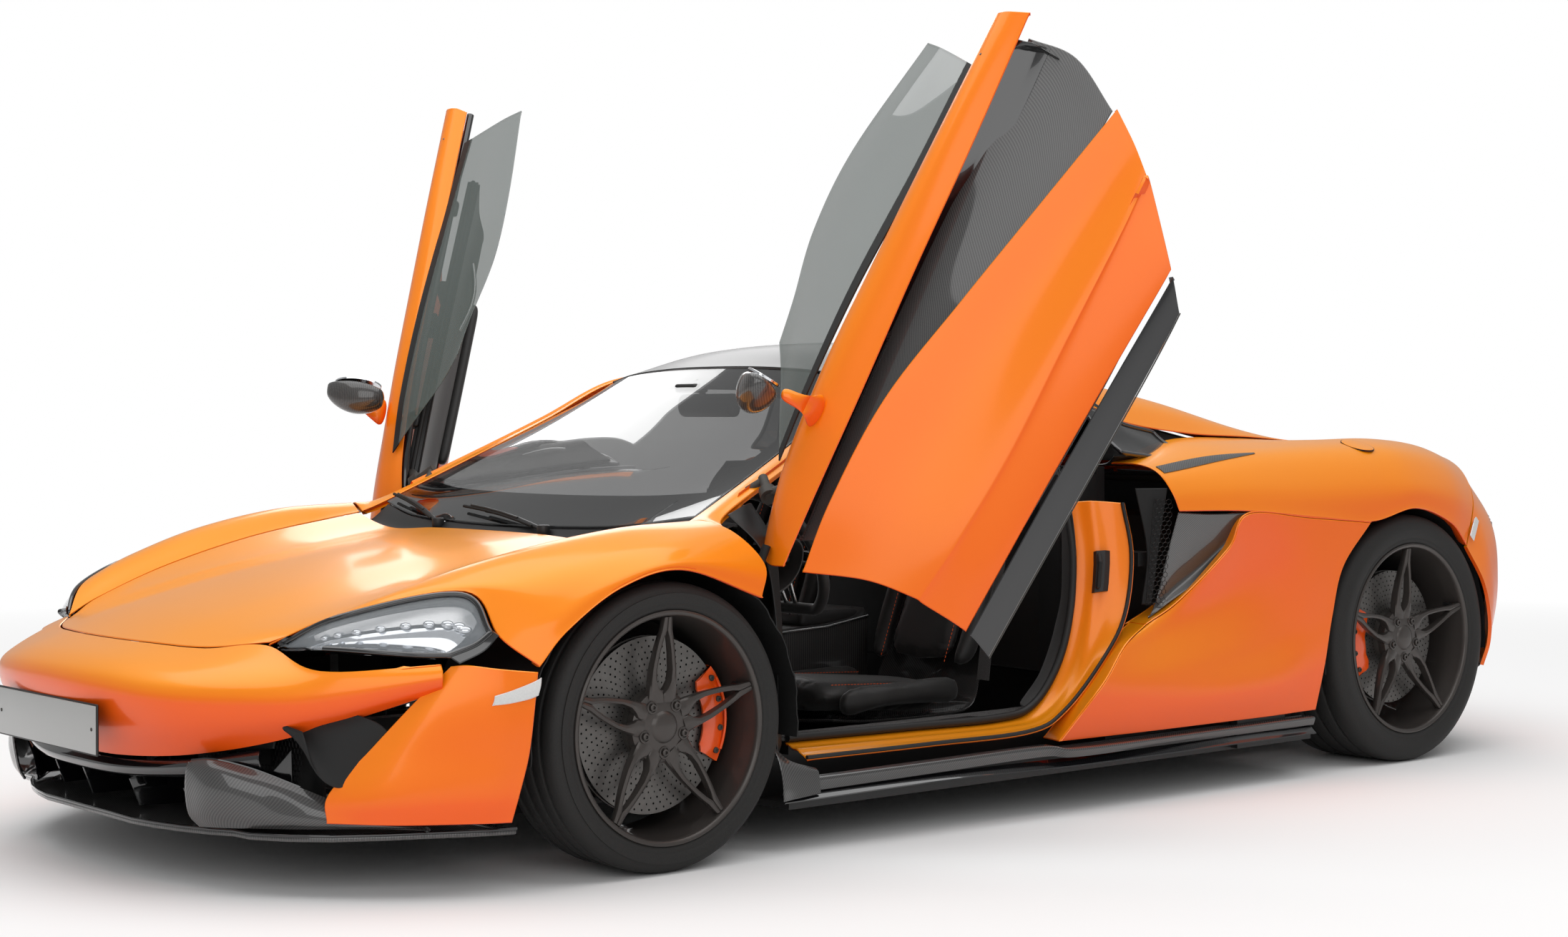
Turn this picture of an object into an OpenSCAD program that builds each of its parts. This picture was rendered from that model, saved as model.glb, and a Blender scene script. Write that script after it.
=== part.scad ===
// Mid-engined two-seat supercar, doors raised. Millimetres, front towards -Y, left towards +X.

/* [Body] */
// Length from nose to tail
body_length = 4530; // [4510:5:4550]
// Width over the rear wheel arches
body_width = 1910; // [1900:2:1920]
// Height of the roof above the floor
body_height = 1200; // [1196:1:1206]
// Thickness of an outer panel
panel_t = 14; // [10:1:15]
// Thickness of the glass
glass_t = 5; // [4:0.5:6]
// Gap between two fixed panels
fixed_gap = 0.8; // [0.6:0.1:1]
// Gap round a door or lid
shut_gap = 6; // [5:0.5:7]
// Gap between a piece and what carries it
seat = 0.3; // [0.2:0.05:0.5]

/* [Doors] */
// Angle between the closed and the raised door
door_angle = 72.66; // [60:0.5:74]

/* [Wheels] */
// Height of the front axle, which is the front tyre's radius
front_r = 320; // [314:1:322]
// Width of the front tyre
front_w = 225; // [205:5:230]
// Radius of the front rim's edge
front_rim = 256; // [245:1:258]
// Radius of the front brake disc
front_disc = 197; // [180:1:200]
// Height of the rear axle, which is the rear tyre's radius
rear_r = 354; // [348:1:356]
// Width of the rear tyre
rear_w = 285; // [265:5:290]
// Radius of the rear rim's edge
rear_rim = 269; // [255:1:272]
// Radius of the rear brake disc
rear_disc = 190; // [175:1:195]
// Pairs of spokes in a wheel
spokes = 5; // [4:1:7]

/* [Cabin] */
// Distance of each seat's middle from the centreline
seat_x = 345; // [340:1:350]
// Radius of the steering wheel's rim
steer_r = 178; // [165:1:182]

/* [Hidden] */

wide = body_width / 1910;
long = body_length / 4530;
tall = body_height / 1200;
front_y = -1235 * long;
rear_y = 1435 * long;
front_x = 831 * wide;
rear_x = 805 * wide;
kingpin_x = front_x - 36;
spindle_r = 30;
roof_t = 12;
lid_hinge = [-1045, 745];
lid_pin = 7;
door_pin = 12;
column_r = 12;
pipe_x = 90;
pipe_z = 330;
pipe_r = 50;
grille_depth = 34;
// Heights of the lower and upper suspension arms about the axle, and their thickness
arm_low = -150;
arm_high = 126;
arm_t = 22;
// A raised door turns about this slanting line near the foot of the windscreen pillar
hinge_axis = [0.7518584, -0.3824461, -0.5370698];
hinge_pos = [950, -912, 694];

// Every station along the body is a row of points; the columns run outward and down
function scaled(p) = [p[0] * wide, p[1] * long, p[2] * tall];
function blend(a, b, c, d, t) = b + 0.5 * t * (c - a + t * (2*a - 5*b + 4*c - d
    + t * (3*b - a - 3*c + d)));
function along(l, t) = let (n = len(l) - 1, i = min(floor(t), n - 1), b = l[i], c = l[i+1],
    a = i > 0 ? l[i-1] : 2*b - c, d = i + 2 <= n ? l[i+2] : 2*c - b) blend(a, b, c, d, t - i);
function smooth(table, nu, nv) = let (cols = len(table[0]) - 1, rows = len(table) - 1)
    [for (i = [0:nu]) let (row = [for (j = [0:cols]) along([for (r = table) scaled(r[j])],
        i * rows / nu)]) [for (k = [0:nv]) along(row, k * cols / nv)]];
function unit(v) = v / norm(v);
function step_in(a, b, g) = a + unit(b - a) * g;
function inset_rows(s, g) = let (n = len(s) - 1) [for (i = [0:n]) [for (j = [0:len(s[0])-1])
    i == 0 ? step_in(s[0][j], s[1][j], g) : i == n ? step_in(s[n][j], s[n-1][j], g) : s[i][j]]];
function inset_cols(s, g) = let (m = len(s[0]) - 1) [for (r = s) [for (j = [0:m])
    j == 0 ? step_in(r[0], r[1], g) : j == m ? step_in(r[m], r[m-1], g) : r[j]]];
function inset(s, g) = inset_cols(inset_rows(s, g), g);
function normals(s) = let (n = len(s) - 1, m = len(s[0]) - 1) [for (i = [0:n]) [for (j = [0:m])
    unit(cross(s[min(i+1, n)][j] - s[max(i-1, 0)][j], s[i][min(j+1, m)] - s[i][max(j-1, 0)]))]];
function flipped(p) = [-p[0], p[1], p[2]];
// A half table, centreline first, made whole by its mirror image
function both_sides(table) = [for (r = table) concat([for (j = [len(r)-1:-1:1]) flipped(r[j])], r)];
function both_ends(table) = concat([for (i = [len(table)-1:-1:1]) [for (p = table[i]) flipped(p)]],
    table);

// A panel: the surface s and the same surface moved inward by t
module panel(s, t) {
    slab(s, moved_in(s, t));
}
module patch(table, nu, nv, gap = fixed_gap, t = panel_t) {
    panel(inset(smooth(table, nu, nv), gap / 2), t);
}
module pair() {
    children();
    mirror([1, 0, 0]) children();
}
// Between two surfaces with the same rows and columns
module slab(outer, inner) {
    m = len(outer[0]);
    k = len(outer) * m;
    skin = [for (i = [0:len(outer)-2]) for (j = [0:m-2]) let (a = i*m + j, b = a + m, c = b + 1, d = a + 1)
        each [[a, b, c], [a, c, d], [k+a, k+c, k+b], [k+a, k+d, k+c]]];
    long_edges = [for (i = [0:len(outer)-2]) for (j = [0, m-1]) let (a = i*m + j, b = a + m)
        each j == 0 ? [[b, a, k+a], [b, k+a, k+b]] : [[a, b, k+b], [a, k+b, k+a]]];
    end_edges = [for (j = [0:m-2]) for (i = [0, len(outer)-1]) let (a = i*m + j, b = a + 1)
        each i == 0 ? [[a, b, k+b], [a, k+b, k+a]] : [[b, a, k+a], [b, k+a, k+b]]];
    polyhedron(concat([for (r = outer) each r], [for (r = inner) each r]),
        concat(skin, long_edges, end_edges), 6);
}
function moved_in(s, d) = let (n = normals(s)) [for (i = [0:len(s)-1]) [for (j = [0:len(s[0])-1])
    s[i][j] + n[i][j] * d]];
function cut(s, i0, i1, j0, j1) = [for (i = [i0:i1]) [for (j = [j0:j1]) s[i][j]]];
// A pad between two depths under a part of a surface
module pad(s, from, to, i0, i1, j0, j1) {
    slab(cut(moved_in(s, from), i0, i1, j0, j1), cut(moved_in(s, to), i0, i1, j0, j1));
}
// A straight post from under one facet of a surface
module post(s, depth, i, j, step) {
    from = cut(moved_in(s, depth), i, i + 1, j, j + 1);
    slab(from, [for (r = from) [for (p = r) p + step]]);
}
// A box in the body's own proportions, and one in millimetres
module box(low, high) {
    translate(scaled(low)) cube(scaled(high) - scaled(low));
}
module block(low, high) {
    translate(low) cube(high - low);
}
module raised(side) {
    mirror([side < 0 ? 1 : 0, 0, 0]) translate(scaled(hinge_pos))
        rotate(a = door_angle, v = hinge_axis) translate(-scaled(hinge_pos)) children();
}
// Turns a shape that stands on the XY plane so that its +Z points out of the left wheel
module axle_frame(side, x, y, z) {
    mirror([side < 0 ? 1 : 0, 0, 0]) translate([x, y, z]) rotate([90, 0, 90]) children();
}

// ---- tables of the body's surfaces: rows run rearward, columns outward and down ----
bonnet_rows = [
    [[0, -2128, 513], [190, -2112, 512], [368, -2062, 510], [490, -1974, 523]],
    [[0, -1950, 572], [200, -1945, 568], [390, -1925, 556], [548, -1880, 560]],
    [[0, -1700, 634], [210, -1700, 628], [420, -1692, 612], [600, -1670, 628]],
    [[0, -1400, 690], [220, -1400, 682], [440, -1398, 664], [652, -1390, 692]],
    [[0, -1105, 718], [240, -1100, 716], [480, -1082, 708], [690, -1062, 740]]];
// bonnet edge, crest, shoulder, above the arch, arch
fender_rows = [
    [[500.4, -1984.6, 520.2], [640, -1880, 590], [795, -1680, 634], [885, -1650, 540], [948, -1590, 478]],
    [[548, -1880, 560], [692, -1750, 640], [850, -1590, 650], [925, -1540, 590], [950, -1516, 552]],
    [[600, -1670, 628], [735, -1530, 706], [868, -1445, 692], [937, -1400, 655], [953, -1375, 636]],
    [[652, -1390, 692], [768, -1270, 752], [882, -1240, 726], [944, -1215, 690], [955, -1210, 665]],
    [[700, -1050, 742], [778, -1030, 764], [872, -1000, 738], [932, -960, 665], [950, -985, 592]]];
// inner tip to rear corner; top edge, middle, lower edge
lens_rows = [
    [[526, -1972, 518], [531, -1974, 514], [536, -1976, 510]],
    [[640, -1888, 584], [650, -1915, 552], [656, -1936, 516]],
    [[795, -1690, 630], [812, -1735, 572], [795, -1815, 506]],
    [[876, -1662, 550], [872, -1700, 525], [856, -1755, 506]]];
nose_rows = [
    [[0, -2128, 513], [0, -2225, 480], [0, -2265, 440], [0, -2245, 360], [0, -2190, 268]],
    [[190, -2112, 512], [205, -2212, 475], [212, -2250, 435], [212, -2232, 358], [208, -2180, 270]],
    [[370, -2062, 509], [400, -2160, 463], [415, -2195, 425], [415, -2180, 360], [405, -2130, 285]],
    [[500, -1985, 520], [560, -2062, 466], [580, -2090, 425], [580, -2080, 372], [565, -2040, 315]],
    [[690, -1965, 478], [715, -1960, 455], [725, -1960, 425], [720, -1955, 392], [700, -1935, 360]],
    [[850, -1770, 492], [865, -1775, 478], [870, -1778, 462], [865, -1775, 446], [850, -1765, 432]]];
// top, upper, middle, lower, foot of the cheek between the intake and the wheel
cheek_rows = [
    [[850, -1760, 500], [790, -1850, 400], [740, -1930, 300], [690, -1985, 215], [700, -1980, 160]],
    [[885, -1735, 497], [855, -1790, 400], [835, -1835, 300], [825, -1865, 215], [822, -1860, 158]],
    [[925, -1680, 482], [925, -1690, 400], [925, -1700, 300], [922, -1715, 215], [912, -1715, 157]],
    [[948, -1592, 470], [955, -1605, 400], [955, -1620, 300], [950, -1642, 215], [940, -1655, 157]]];
screen_rows = [
    [[0, -1052, 728], [240, -1046, 731], [470, -1026, 740], [690, -975, 768]],
    [[0, -820, 878], [230, -812, 878], [440, -785, 880], [640, -725, 884]],
    [[0, -590, 1010], [210, -580, 1008], [410, -555, 1002], [590, -505, 990]],
    [[0, -380, 1128], [200, -372, 1125], [390, -355, 1113], [548, -320, 1088]]];
roof_rows = [
    [[0, -372, 1132], [200, -364, 1129], [390, -347, 1117], [535, -318, 1098]],
    [[0, -150, 1190], [200, -145, 1186], [390, -130, 1170], [545, -110, 1132]],
    [[0, 80, 1200], [200, 82, 1195], [390, 88, 1177], [548, 96, 1134]],
    [[0, 320, 1182], [200, 325, 1176], [390, 340, 1158], [548, 360, 1112]]];
// inner edge at the glass, outer edge at the door glass, from the fender up to the roof
pillar_rows = [
    [for (t = [0.03, 0.5, 0.97]) along(fender_rows[4], t) + [0, 6 - 4 * t, 0]],
    [[695, -970, 772], [735, -958, 778], [768, -950, 770]],
    [[645, -722, 887], [682, -708, 890], [706, -698, 882]],
    [[595, -503, 993], [630, -488, 994], [650, -478, 986]],
    [[553, -318, 1092], [582, -302, 1092], [600, -290, 1082]],
    [[552, -110, 1130], [580, -100, 1118], [592, -96, 1104]],
    [[554, 96, 1132], [582, 98, 1120], [594, 100, 1106]],
    [[556, 345, 1108], [592, 350, 1090], [612, 352, 1068]]];
door_panel_rows = [
    [[925, -938, 645], [932, -880, 510], [940, -860, 370], [930, -866, 255], [905, -890, 182]],
    [[928, -760, 673], [932, -710, 520], [948, -700, 362], [935, -700, 258], [908, -700, 185]],
    [[924, -500, 683], [926, -475, 525], [950, -470, 362], [938, -470, 262], [910, -470, 188]],
    [[916, -220, 645], [922, -200, 515], [952, -190, 380], [940, -190, 264], [912, -200, 192]],
    [[916, 60, 601], [926, 70, 495], [954, 70, 397], [942, 10, 264], [914, -70, 196]],
    [[924, 338, 556], [936, 285, 482], [952, 226, 411], [943, 74, 265], [916, 0, 200]]];
// belt under the glass, top of the shoulder, its middle, its lower edge
shoulder_rows = [
    [[800, -938, 764], [848, -955, 748], [888, -962, 720], [914, -948, 688]],
    [[828, -760, 812], [862, -760, 806], [898, -765, 775], [922, -770, 707]],
    [[836, -500, 850], [868, -500, 846], [902, -500, 815], [922, -500, 735]],
    [[832, -200, 874], [866, -200, 870], [900, -200, 840], [918, -200, 770]],
    [[826, 100, 892], [862, 100, 892], [896, 100, 868], [912, 100, 800]],
    [[822, 400, 908], [860, 410, 912], [890, 420, 890], [906, 440, 840]]];
// under the shoulder, fold, along the panel's top edge
recess_rows = [
    [[880, -880, 690], [890, -870, 672], [902, -860, 650]],
    [[868, -500, 740], [882, -500, 712], [898, -500, 672]],
    [[855, -100, 778], [872, -100, 712], [892, -90, 618]],
    [[850, 250, 800], [872, 262, 690], [896, 200, 568]],
    [[852, 396, 822], [876, 404, 700], [900, 332, 562]]];
door_glass_rows = [
    [[846, -730, 838], [800, -665, 880], [730, -570, 940], [690, -500, 990]],
    [[850, -560, 862], [800, -510, 905], [722, -425, 970], [665, -390, 1018]],
    [[840, -300, 888], [780, -275, 940], [690, -230, 1015], [618, -215, 1068]],
    [[818, 20, 902], [755, 20, 960], [675, 10, 1035], [608, 0, 1085]],
    [[795, 290, 922], [742, 300, 965], [680, 310, 1015], [625, 315, 1055]]];
door_trim_rows = [
    [[826, -800, 760], [845, -800, 600], [868, -800, 420], [872, -800, 275]],
    [[812, -500, 820], [838, -500, 610], [862, -500, 420], [872, -500, 270]],
    [[800, -150, 850], [832, -150, 620], [858, -150, 430], [870, -150, 275]],
    [[790, 170, 868], [828, 160, 630], [852, 90, 450], [866, -20, 300]]];
haunch_rows = [
    [[700, 432, 872], [805, 432, 868], [872, 430, 846], [915, 436, 795], [932, 446, 745]],
    [[672, 700, 930], [780, 700, 905], [862, 700, 873], [925, 702, 805], [948, 706, 738]],
    [[650, 1000, 930], [755, 1000, 915], [858, 1000, 885], [932, 1000, 800], [954, 1000, 712]],
    [[632, 1300, 915], [745, 1300, 922], [862, 1300, 892], [940, 1280, 800], [957, 1235, 695]],
    [[620, 1500, 900], [735, 1500, 924], [866, 1490, 888], [942, 1465, 800], [957, 1435, 726]],
    [[610, 1720, 875], [720, 1720, 906], [850, 1695, 862], [928, 1655, 775], [950, 1610, 680]],
    [[612, 1958, 854], [705, 1921.5, 862], [812, 1870.6, 818], [895, 1800.6, 735], [938, 1705.6, 610]]];
// lower quarter between the door, the side intake and the rear wheel
quarter_rows = [
    [[905, 345, 452], [928, 242, 407], [944, 150, 325], [938, 76, 256], [915, 10, 178]],
    [[912, 470, 510], [918, 410, 430], [942, 360, 325], [942, 330, 250], [920, 300, 176]],
    [[935, 640, 640], [918, 640, 500], [936, 620, 350], [944, 600, 256], [924, 580, 176]],
    [[948, 706, 732], [932, 800, 560], [934, 820, 390], [944, 820, 272], [926, 810, 176]],
    [[953, 960, 714], [950, 960, 575], [946, 960, 420], [946, 940, 290], [928, 930, 178]],
    [[957, 1228, 692], [956, 1105, 575], [954, 1058, 440], [950, 1030, 310], [932, 1010, 180]]];
// rear corner and tail, from the rear arch round to the centreline
tail_rows = [
    [[935.7, 1710.7, 605.1], [950, 1776, 500], [952, 1806, 400], [946, 1812, 320], [930, 1800, 250]],
    [[893, 1806, 730], [915, 1850, 600], [918, 1875, 470], [910, 1872, 360], [890, 1850, 255]],
    [[810, 1876, 812], [850, 1965, 650], [850, 1990, 500], [840, 1980, 375], [820, 1950, 262]],
    [[705, 1926, 855], [745, 2065, 690], [745, 2085, 530], [735, 2070, 395], [715, 2035, 270]],
    [[520, 2010, 850], [540, 2175, 715], [540, 2180, 560], [530, 2160, 425], [515, 2120, 280]],
    [[260, 2040, 858], [265, 2235, 730], [265, 2235, 580], [260, 2210, 440], [255, 2170, 290]],
    [[0, 2050, 860], [0, 2265, 735], [0, 2255, 585], [0, 2225, 445], [0, 2185, 290]]];
// the buttress: foot of its inner wall along the engine cover, inner edge, crest, outer edge
deck_rows = [
    [for (t = [0, 0.4, 0.8, 1.4, 2]) along(pillar_rows[7], t) + [0, 5.5, 0]],
    [[421.4, 600, 1030], [432, 560, 1062], [520, 540, 1082], [600, 520, 1048], [660, 500, 985]],
    [[427, 820, 980], [440, 820, 1012], [530, 810, 1030], [602, 800, 1005], [665, 790, 945]],
    [[435, 1100, 926], [450, 1100, 950], [530, 1100, 962], [600, 1100, 950], [645, 1100, 932]],
    [[444, 1400, 880], [460, 1400, 898], [530, 1400, 902], [590, 1400, 904], [623, 1400, 911]],
    [[453, 1700, 852], [470, 1700, 856], [530, 1700, 858], [575, 1700, 866], [608, 1700, 880]],
    [[463, 2001, 851], [480, 2006, 852], [525, 1995, 852], [562, 1979, 852], [600, 1960, 853]]];
cover_rows = [
    [[0, 600, 1030], [200, 600, 1030], [421, 600, 1025]],
    [[0, 900, 962], [200, 900, 962], [429, 900, 960]],
    [[0, 1240, 900], [200, 1240, 900], [439, 1240, 898]],
    [[0, 1560, 862], [200, 1560, 862], [449, 1560, 862]]];
wing_rows = [
    [[0, 1561, 862], [200, 1561, 862], [448.5, 1561, 862]],
    [[0, 1800, 846], [220, 1800, 846], [456.6, 1790, 845]],
    [[0, 2034, 858], [240, 2026, 856], [462, 2001, 851]]];
jamb_rows = [
    [[795, -790, 236], [845, -795, 226], [885, -800, 206]],
    [[795, -400, 230], [845, -400, 220], [888, -400, 204]],
    [[795, -100, 226], [845, -90, 218], [890, -70, 206]],
    [[795, 20, 246], [848, 45, 240], [892, 60, 252]],
    [[792, 110, 330], [846, 150, 330], [894, 200, 372]],
    [[786, 170, 450], [836, 215, 462], [890, 288, 480]],
    [[770, 205, 620], [822, 255, 630], [872, 335, 632]],
    [[735, 215, 770], [790, 265, 775], [840, 336, 768]]];
skirt_rows = [
    [[895, -880, 170], [905, -885, 158], [900, -885, 132]],
    [[897, -400, 174], [915, -400, 166], [912, -400, 140]],
    [[900, -60, 176], [922, -60, 172], [922, -60, 146]],
    [[912, 40, 168], [945, 60, 160], [938, 60, 138]],
    [[918, 500, 166], [942, 500, 160], [935, 500, 140]],
    [[922, 990, 168], [945, 990, 164], [940, 990, 142]]];

splitter_side = [[0, -2163], [250, -2160], [520, -2075], [650, -2010], [770, -1870], [850, -1700],
    [880, -1605], [520, -1605], [520, -1900], [0, -1900]];

// ---- body ----
module tub() color("#1d1d1f") {
    box([-620, -860, 110], [620, 380, 140]);
    box([-700, 380 + seat, 110], [700, 410, 860]);
    block([-front_x + 285 + seat, -890 * long, 110 * tall], [front_x - 285 - seat, (-860 - seat) * long,
        690 * tall]);
    pair() {
        box([620 + seat, -850, 110], [775, 300, 205]);
        box([740, -780, 205 + seat], [793, -150, 236]);
        box([622, 240, 205 + seat], [700, 380, 840]);
        box([640, -860, 205 + seat], [760, -790, 700]);
        box([700, -856, 700 + seat], [735, -836, 791.2]);
        // what carries the front housing, the intake panel and the front wheels
        block([front_x - 315, front_y + 330, 250 * tall], [front_x - 285 - seat, (-890 - seat) * long, 400 * tall]);
        box([700 + seat, 384, 600], [842, 452, 636]);
        box([388, -1940 + seat, 250], [430 - seat, -890 - seat, 330]);
        block([388 * wide, front_y - 65, front_r - 155], [430 * wide - seat, front_y + 65, front_r + 150]);
        // rear subframe
        box([320, 410 + seat, 300], [400 - seat, 1500, 380]);
        block([340 * wide, rear_y - 40, rear_r - 155], [400 * wide - seat, rear_y + 40, rear_r + 150]);
        block([330 * wide, rear_y - 285, rear_r - 14], [rear_x - 169 - seat, rear_y - 225, rear_r + 22]);
    }
}
module door_jambs() color("darkorange") pair() patch(jamb_rows, 18, 3, 0, 8);
lens_surface = inset(smooth(lens_rows, 12, 6), shut_gap / 2);
function lens_flange(depth) = [for (r = cut(moved_in(lens_surface, depth), 4, 9, 0, 1))
    [r[0] + unit(r[0] - r[1]) * 16, r[0], r[1]]];
module front_fenders() color("darkorange") pair() {
    patch(fender_rows, 14, 10);
    // the flange that the lens lies on
    slab(lens_flange(glass_t + seat), lens_flange(glass_t + seat + 5));
}
module front_bumper() color("darkorange") {
    patch(both_ends(nose_rows), 24, 7);
    pair() patch(cheek_rows, 8, 8);
    translate([-260, -2262 * long, 282 * tall]) cube([520, 6, 110]);
}
module front_intake() color("#141414") {
    pair() box([35 + seat, -1960, 134 + seat], [640, -1940, 400]);
    box([-35, -1975, 134 + seat], [35, -1935, 400]);
}
module splitter() color("#202020") {
    translate([0, 0, 120 * tall]) linear_extrude(14 * tall) polygon(concat(
        [for (p = splitter_side) [p[0] * wide, p[1] * long]],
        [for (i = [len(splitter_side)-2:-1:1]) [-splitter_side[i][0] * wide, splitter_side[i][1] * long]]));
}
// The lid's hinge pins stand in the pillars' feet, and its arms turn on them
module lid_line(x) {
    translate([x * wide, lid_hinge[0] * long, lid_hinge[1] * tall]) rotate([0, 90, 0]) children();
}
module bonnet() color("darkorange") {
    patch(both_sides(bonnet_rows), 12, 14, shut_gap);
    pair() difference() {
        hull() {
            lid_line(655) cylinder(h = 24, r = lid_pin + 7, $fn = 36);
            box([655, -1105, 714], [678, -1090, 724]);
        }
        lid_line(650) cylinder(h = 34, r = lid_pin + seat, $fn = 48);
    }
}
module headlamps() color("#e8eef2") pair() panel(lens_surface, glass_t);
screen_surface = inset(smooth(both_sides(screen_rows), 10, 18), shut_gap / 2);
module windscreen() color("#30383c") panel(screen_surface, glass_t);
// A strip under the outer edge of a pane or skin, out into the frame beside it
function edge_strip(s, reach, i0, i1) = [for (i = [i0:i1]) let (r = s[i], m = len(r) - 1)
    [r[m-1], r[m], r[m] + unit(r[m] - r[m-1]) * reach]];
module ledge(s, depth, reach, i0, i1) {
    slab(edge_strip(moved_in(s, depth), reach, i0, i1), edge_strip(moved_in(s, depth + 5), reach, i0, i1));
}
roof_surface = inset(smooth(both_sides(roof_rows), 12, 14), fixed_gap / 2);
module roof() color("#1b1b1b") {
    panel(roof_surface, roof_t);
    pair() {
        patch(pillar_rows, 21, 4, fixed_gap, 20);
        ledge(screen_surface, glass_t + seat, 14, 1, 9);
        ledge(roof_surface, roof_t + seat, 24, 3, 11);
        lid_line(652) cylinder(h = 34, r = lid_pin, $fn = 48);
        hull() {
            lid_line(682) cylinder(h = 7, r = lid_pin - 2, $fn = 16);
            translate(scaled([722, -1005, 746])) sphere(8, $fn = 12);
        }
        hull() {
            door_line(-296) cylinder(h = 10, r = door_pin - 3, $fn = 16);
            translate(scaled([705, -830, 826])) sphere(8, $fn = 12);
        }
        door_line(-300) cylinder(h = 87, r = door_pin, $fn = 48);
    }
}
module rear_fenders() color("darkorange") pair() {
    patch(haunch_rows, 15, 8);
    patch(quarter_rows, 12, 8);
}
module rear_deck() color("darkorange") {
    pair() patch(deck_rows, 15, 6);
    patch(both_sides(wing_rows), 8, 8);
}
module engine_cover() color("#1a1a1a") patch(both_sides(cover_rows), 12, 10);
module rear_glass() color("#3a4246") patch([for (r = [[340, 1118], [378, 1000], [395, 900],
    [395, 860 + seat]]) [for (x = [-440, 0, 440]) [x, r[0], r[1]]]], 9, 4, 0, glass_t);
module side_intakes() color("#151515") pair() {
    patch([[[850, 480, 820], [850, 450, 640], [848, 395, 480]],
        [[918, 690, 722], [900, 590, 600], [880, 470, 500]]], 8, 8, fixed_gap, 8);
}
module side_skirts() color("#161616") pair() patch(skirt_rows, 15, 4, 0, 8);
function both_tail(table) = let (n = len(table) - 1)
    concat(table, [for (i = [n-1:-1:0]) [for (p = table[i]) flipped(p)]]);
tail_surface = smooth(both_tail(tail_rows), 36, 12);
// The tail has one wide opening for the grille, with the lamps along its ends
module rear_bumper() color("darkorange") difference() {
    panel(inset(tail_surface, fixed_gap / 2), panel_t);
    translate([0, 2400 * long, 0]) rotate([90, 0, 0]) linear_extrude(500) {
        polygon([for (p = [[-700, 770], [700, 770], [800, 660], [640, 440], [300, 420], [-300, 420],
            [-640, 440], [-800, 660]]) [p[0] * wide, p[1] * tall]]);
        for (x = [-pipe_x, pipe_x]) translate([x, pipe_z * tall]) circle(pipe_r + 6, $fn = 48);
    }
}
module tail_grille() color("#101010") {
    pad(tail_surface, grille_depth, grille_depth + 6, 5, 31, 1, 9);
    // feet that reach the back of the painted panel
    for (i = [6, 14, 20, 28]) pad(tail_surface, panel_t + seat, grille_depth + 3, i, i + 2, 1, 2);
}
module tail_lamps() color("darkred") for (i = [4, 25])
    pad(tail_surface, 20, grille_depth - seat, i, i + 7, 3, 4);
module exhausts() color("#777777") pair() translate([pipe_x, (1290 + seat) * long, pipe_z * tall])
    rotate([-90, 0, 0]) difference() {
        cylinder(h = 2232 * long - (1290 + seat) * long, r = pipe_r, $fn = 48);
        translate([0, 0, 60]) cylinder(h = 1500, r = pipe_r - 4, $fn = 48);
    }
module diffuser() color("#1c1c1c") rotate([90, 0, 90]) translate([0, 0, -560 * wide])
    linear_extrude(1120 * wide) polygon([for (p = [[1840 + seat, 110 - seat], [2090, 232], [2090, 218],
        [1840 + seat, 96 - seat]]) [p[0] * long, p[1] * tall]]);
module undertray() color("#202020") {
    box([-520, -1880, 96 - seat], [520, 1840, 110 - seat]);
    pair() {
        box([520 + seat, -860, 96 - seat], [889, 1040, 110 - seat]);
        box([880, -860, 100], [889.7, 1000, 164]);
        box([880, 700, 100], [911.2, 900, 200]);
    }
}
module liner(r, x0, from, sweep) {
    rotate([0, 0, from]) rotate_extrude(angle = sweep, $fn = 72)
        polygon([[r, x0], [r, rear_x + 75], [r + 4, rear_x + 75], [r + 4, x0 - 4], [r - 190, x0 - 4], [r - 190, x0]]);
}
module pocket(r, x0, from, sweep) {
    rotate([0, 0, from]) rotate_extrude(angle = sweep, $fn = 72)
        polygon([[r, x0], [r, front_x - 171], [r + 4, front_x - 171], [r + 4, x0 - 4], [r - 190, x0 - 4], [r - 190, x0]]);
}
module open_liner(r, from, sweep) {
    rotate([0, 0, from]) rotate_extrude(angle = sweep, $fn = 72) translate([r, front_x - 191]) square([4, 240]);
}
// The front housings are deeper before and behind the axle, where the steered tyre swings inward
module wheel_housings() color("#101010") pair() {
    axle_frame(1, 0, front_y, front_r) {
        open_liner(front_r + 42, -12, 200);
        for (a = [-11, 129]) pocket(front_r + 40.5, front_x - 281, a, 58);
    }
    axle_frame(1, 0, rear_y, rear_r) liner(rear_r + 20, rear_x - 165, -12, 204);
}
module engine_block() color("#606060") box([-320 + seat, 560, 180], [320 - seat, 1290, 700]);
module dashboard() color("#1a1a1a") {
    hull() for (x = [-610.75, 610.75]) {
        translate(scaled([x, -800, 700])) sphere(30 * wide, $fn = 12);
        translate(scaled([x, -620, 660])) sphere(30 * wide, $fn = 12);
        translate(scaled([x, -800, 560])) sphere(30 * wide, $fn = 12);
    }
    wheel_tilt() {
        translate([0, 0, -240]) cylinder(h = 200, r = 28, $fn = 36);
        translate([0, 0, -100]) cylinder(h = 106, r = column_r, $fn = 36);
    }
    translate([seat_x - 20, -690 * long, 545 * tall]) cube([40, 60, 90 * tall]);
}
module console() color("#1a1a1a") box([-110, -600, 140 + seat], [110, 100, 420]);
module seats() color("#1c1c1c") pair() translate([seat_x, 0, 0]) {
    hull() for (x = [-200, 200], y = [-420, 20], z = [190, 290]) translate([x, y, z]) sphere(30, $fn = 12);
    hull() for (x = [-190, 190]) {
        translate([x, 88.6, 298.6]) sphere(40, $fn = 12);
        translate([x * 0.7, 290, 830]) sphere(40, $fn = 12);
    }
    for (x = [-150, 130]) translate([x, -380, 140 * tall + seat]) cube([20, 380, 40]);
}
module wheel_tilt() translate([seat_x, -450, 640]) rotate([-65, 0, 0]) children();
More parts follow.
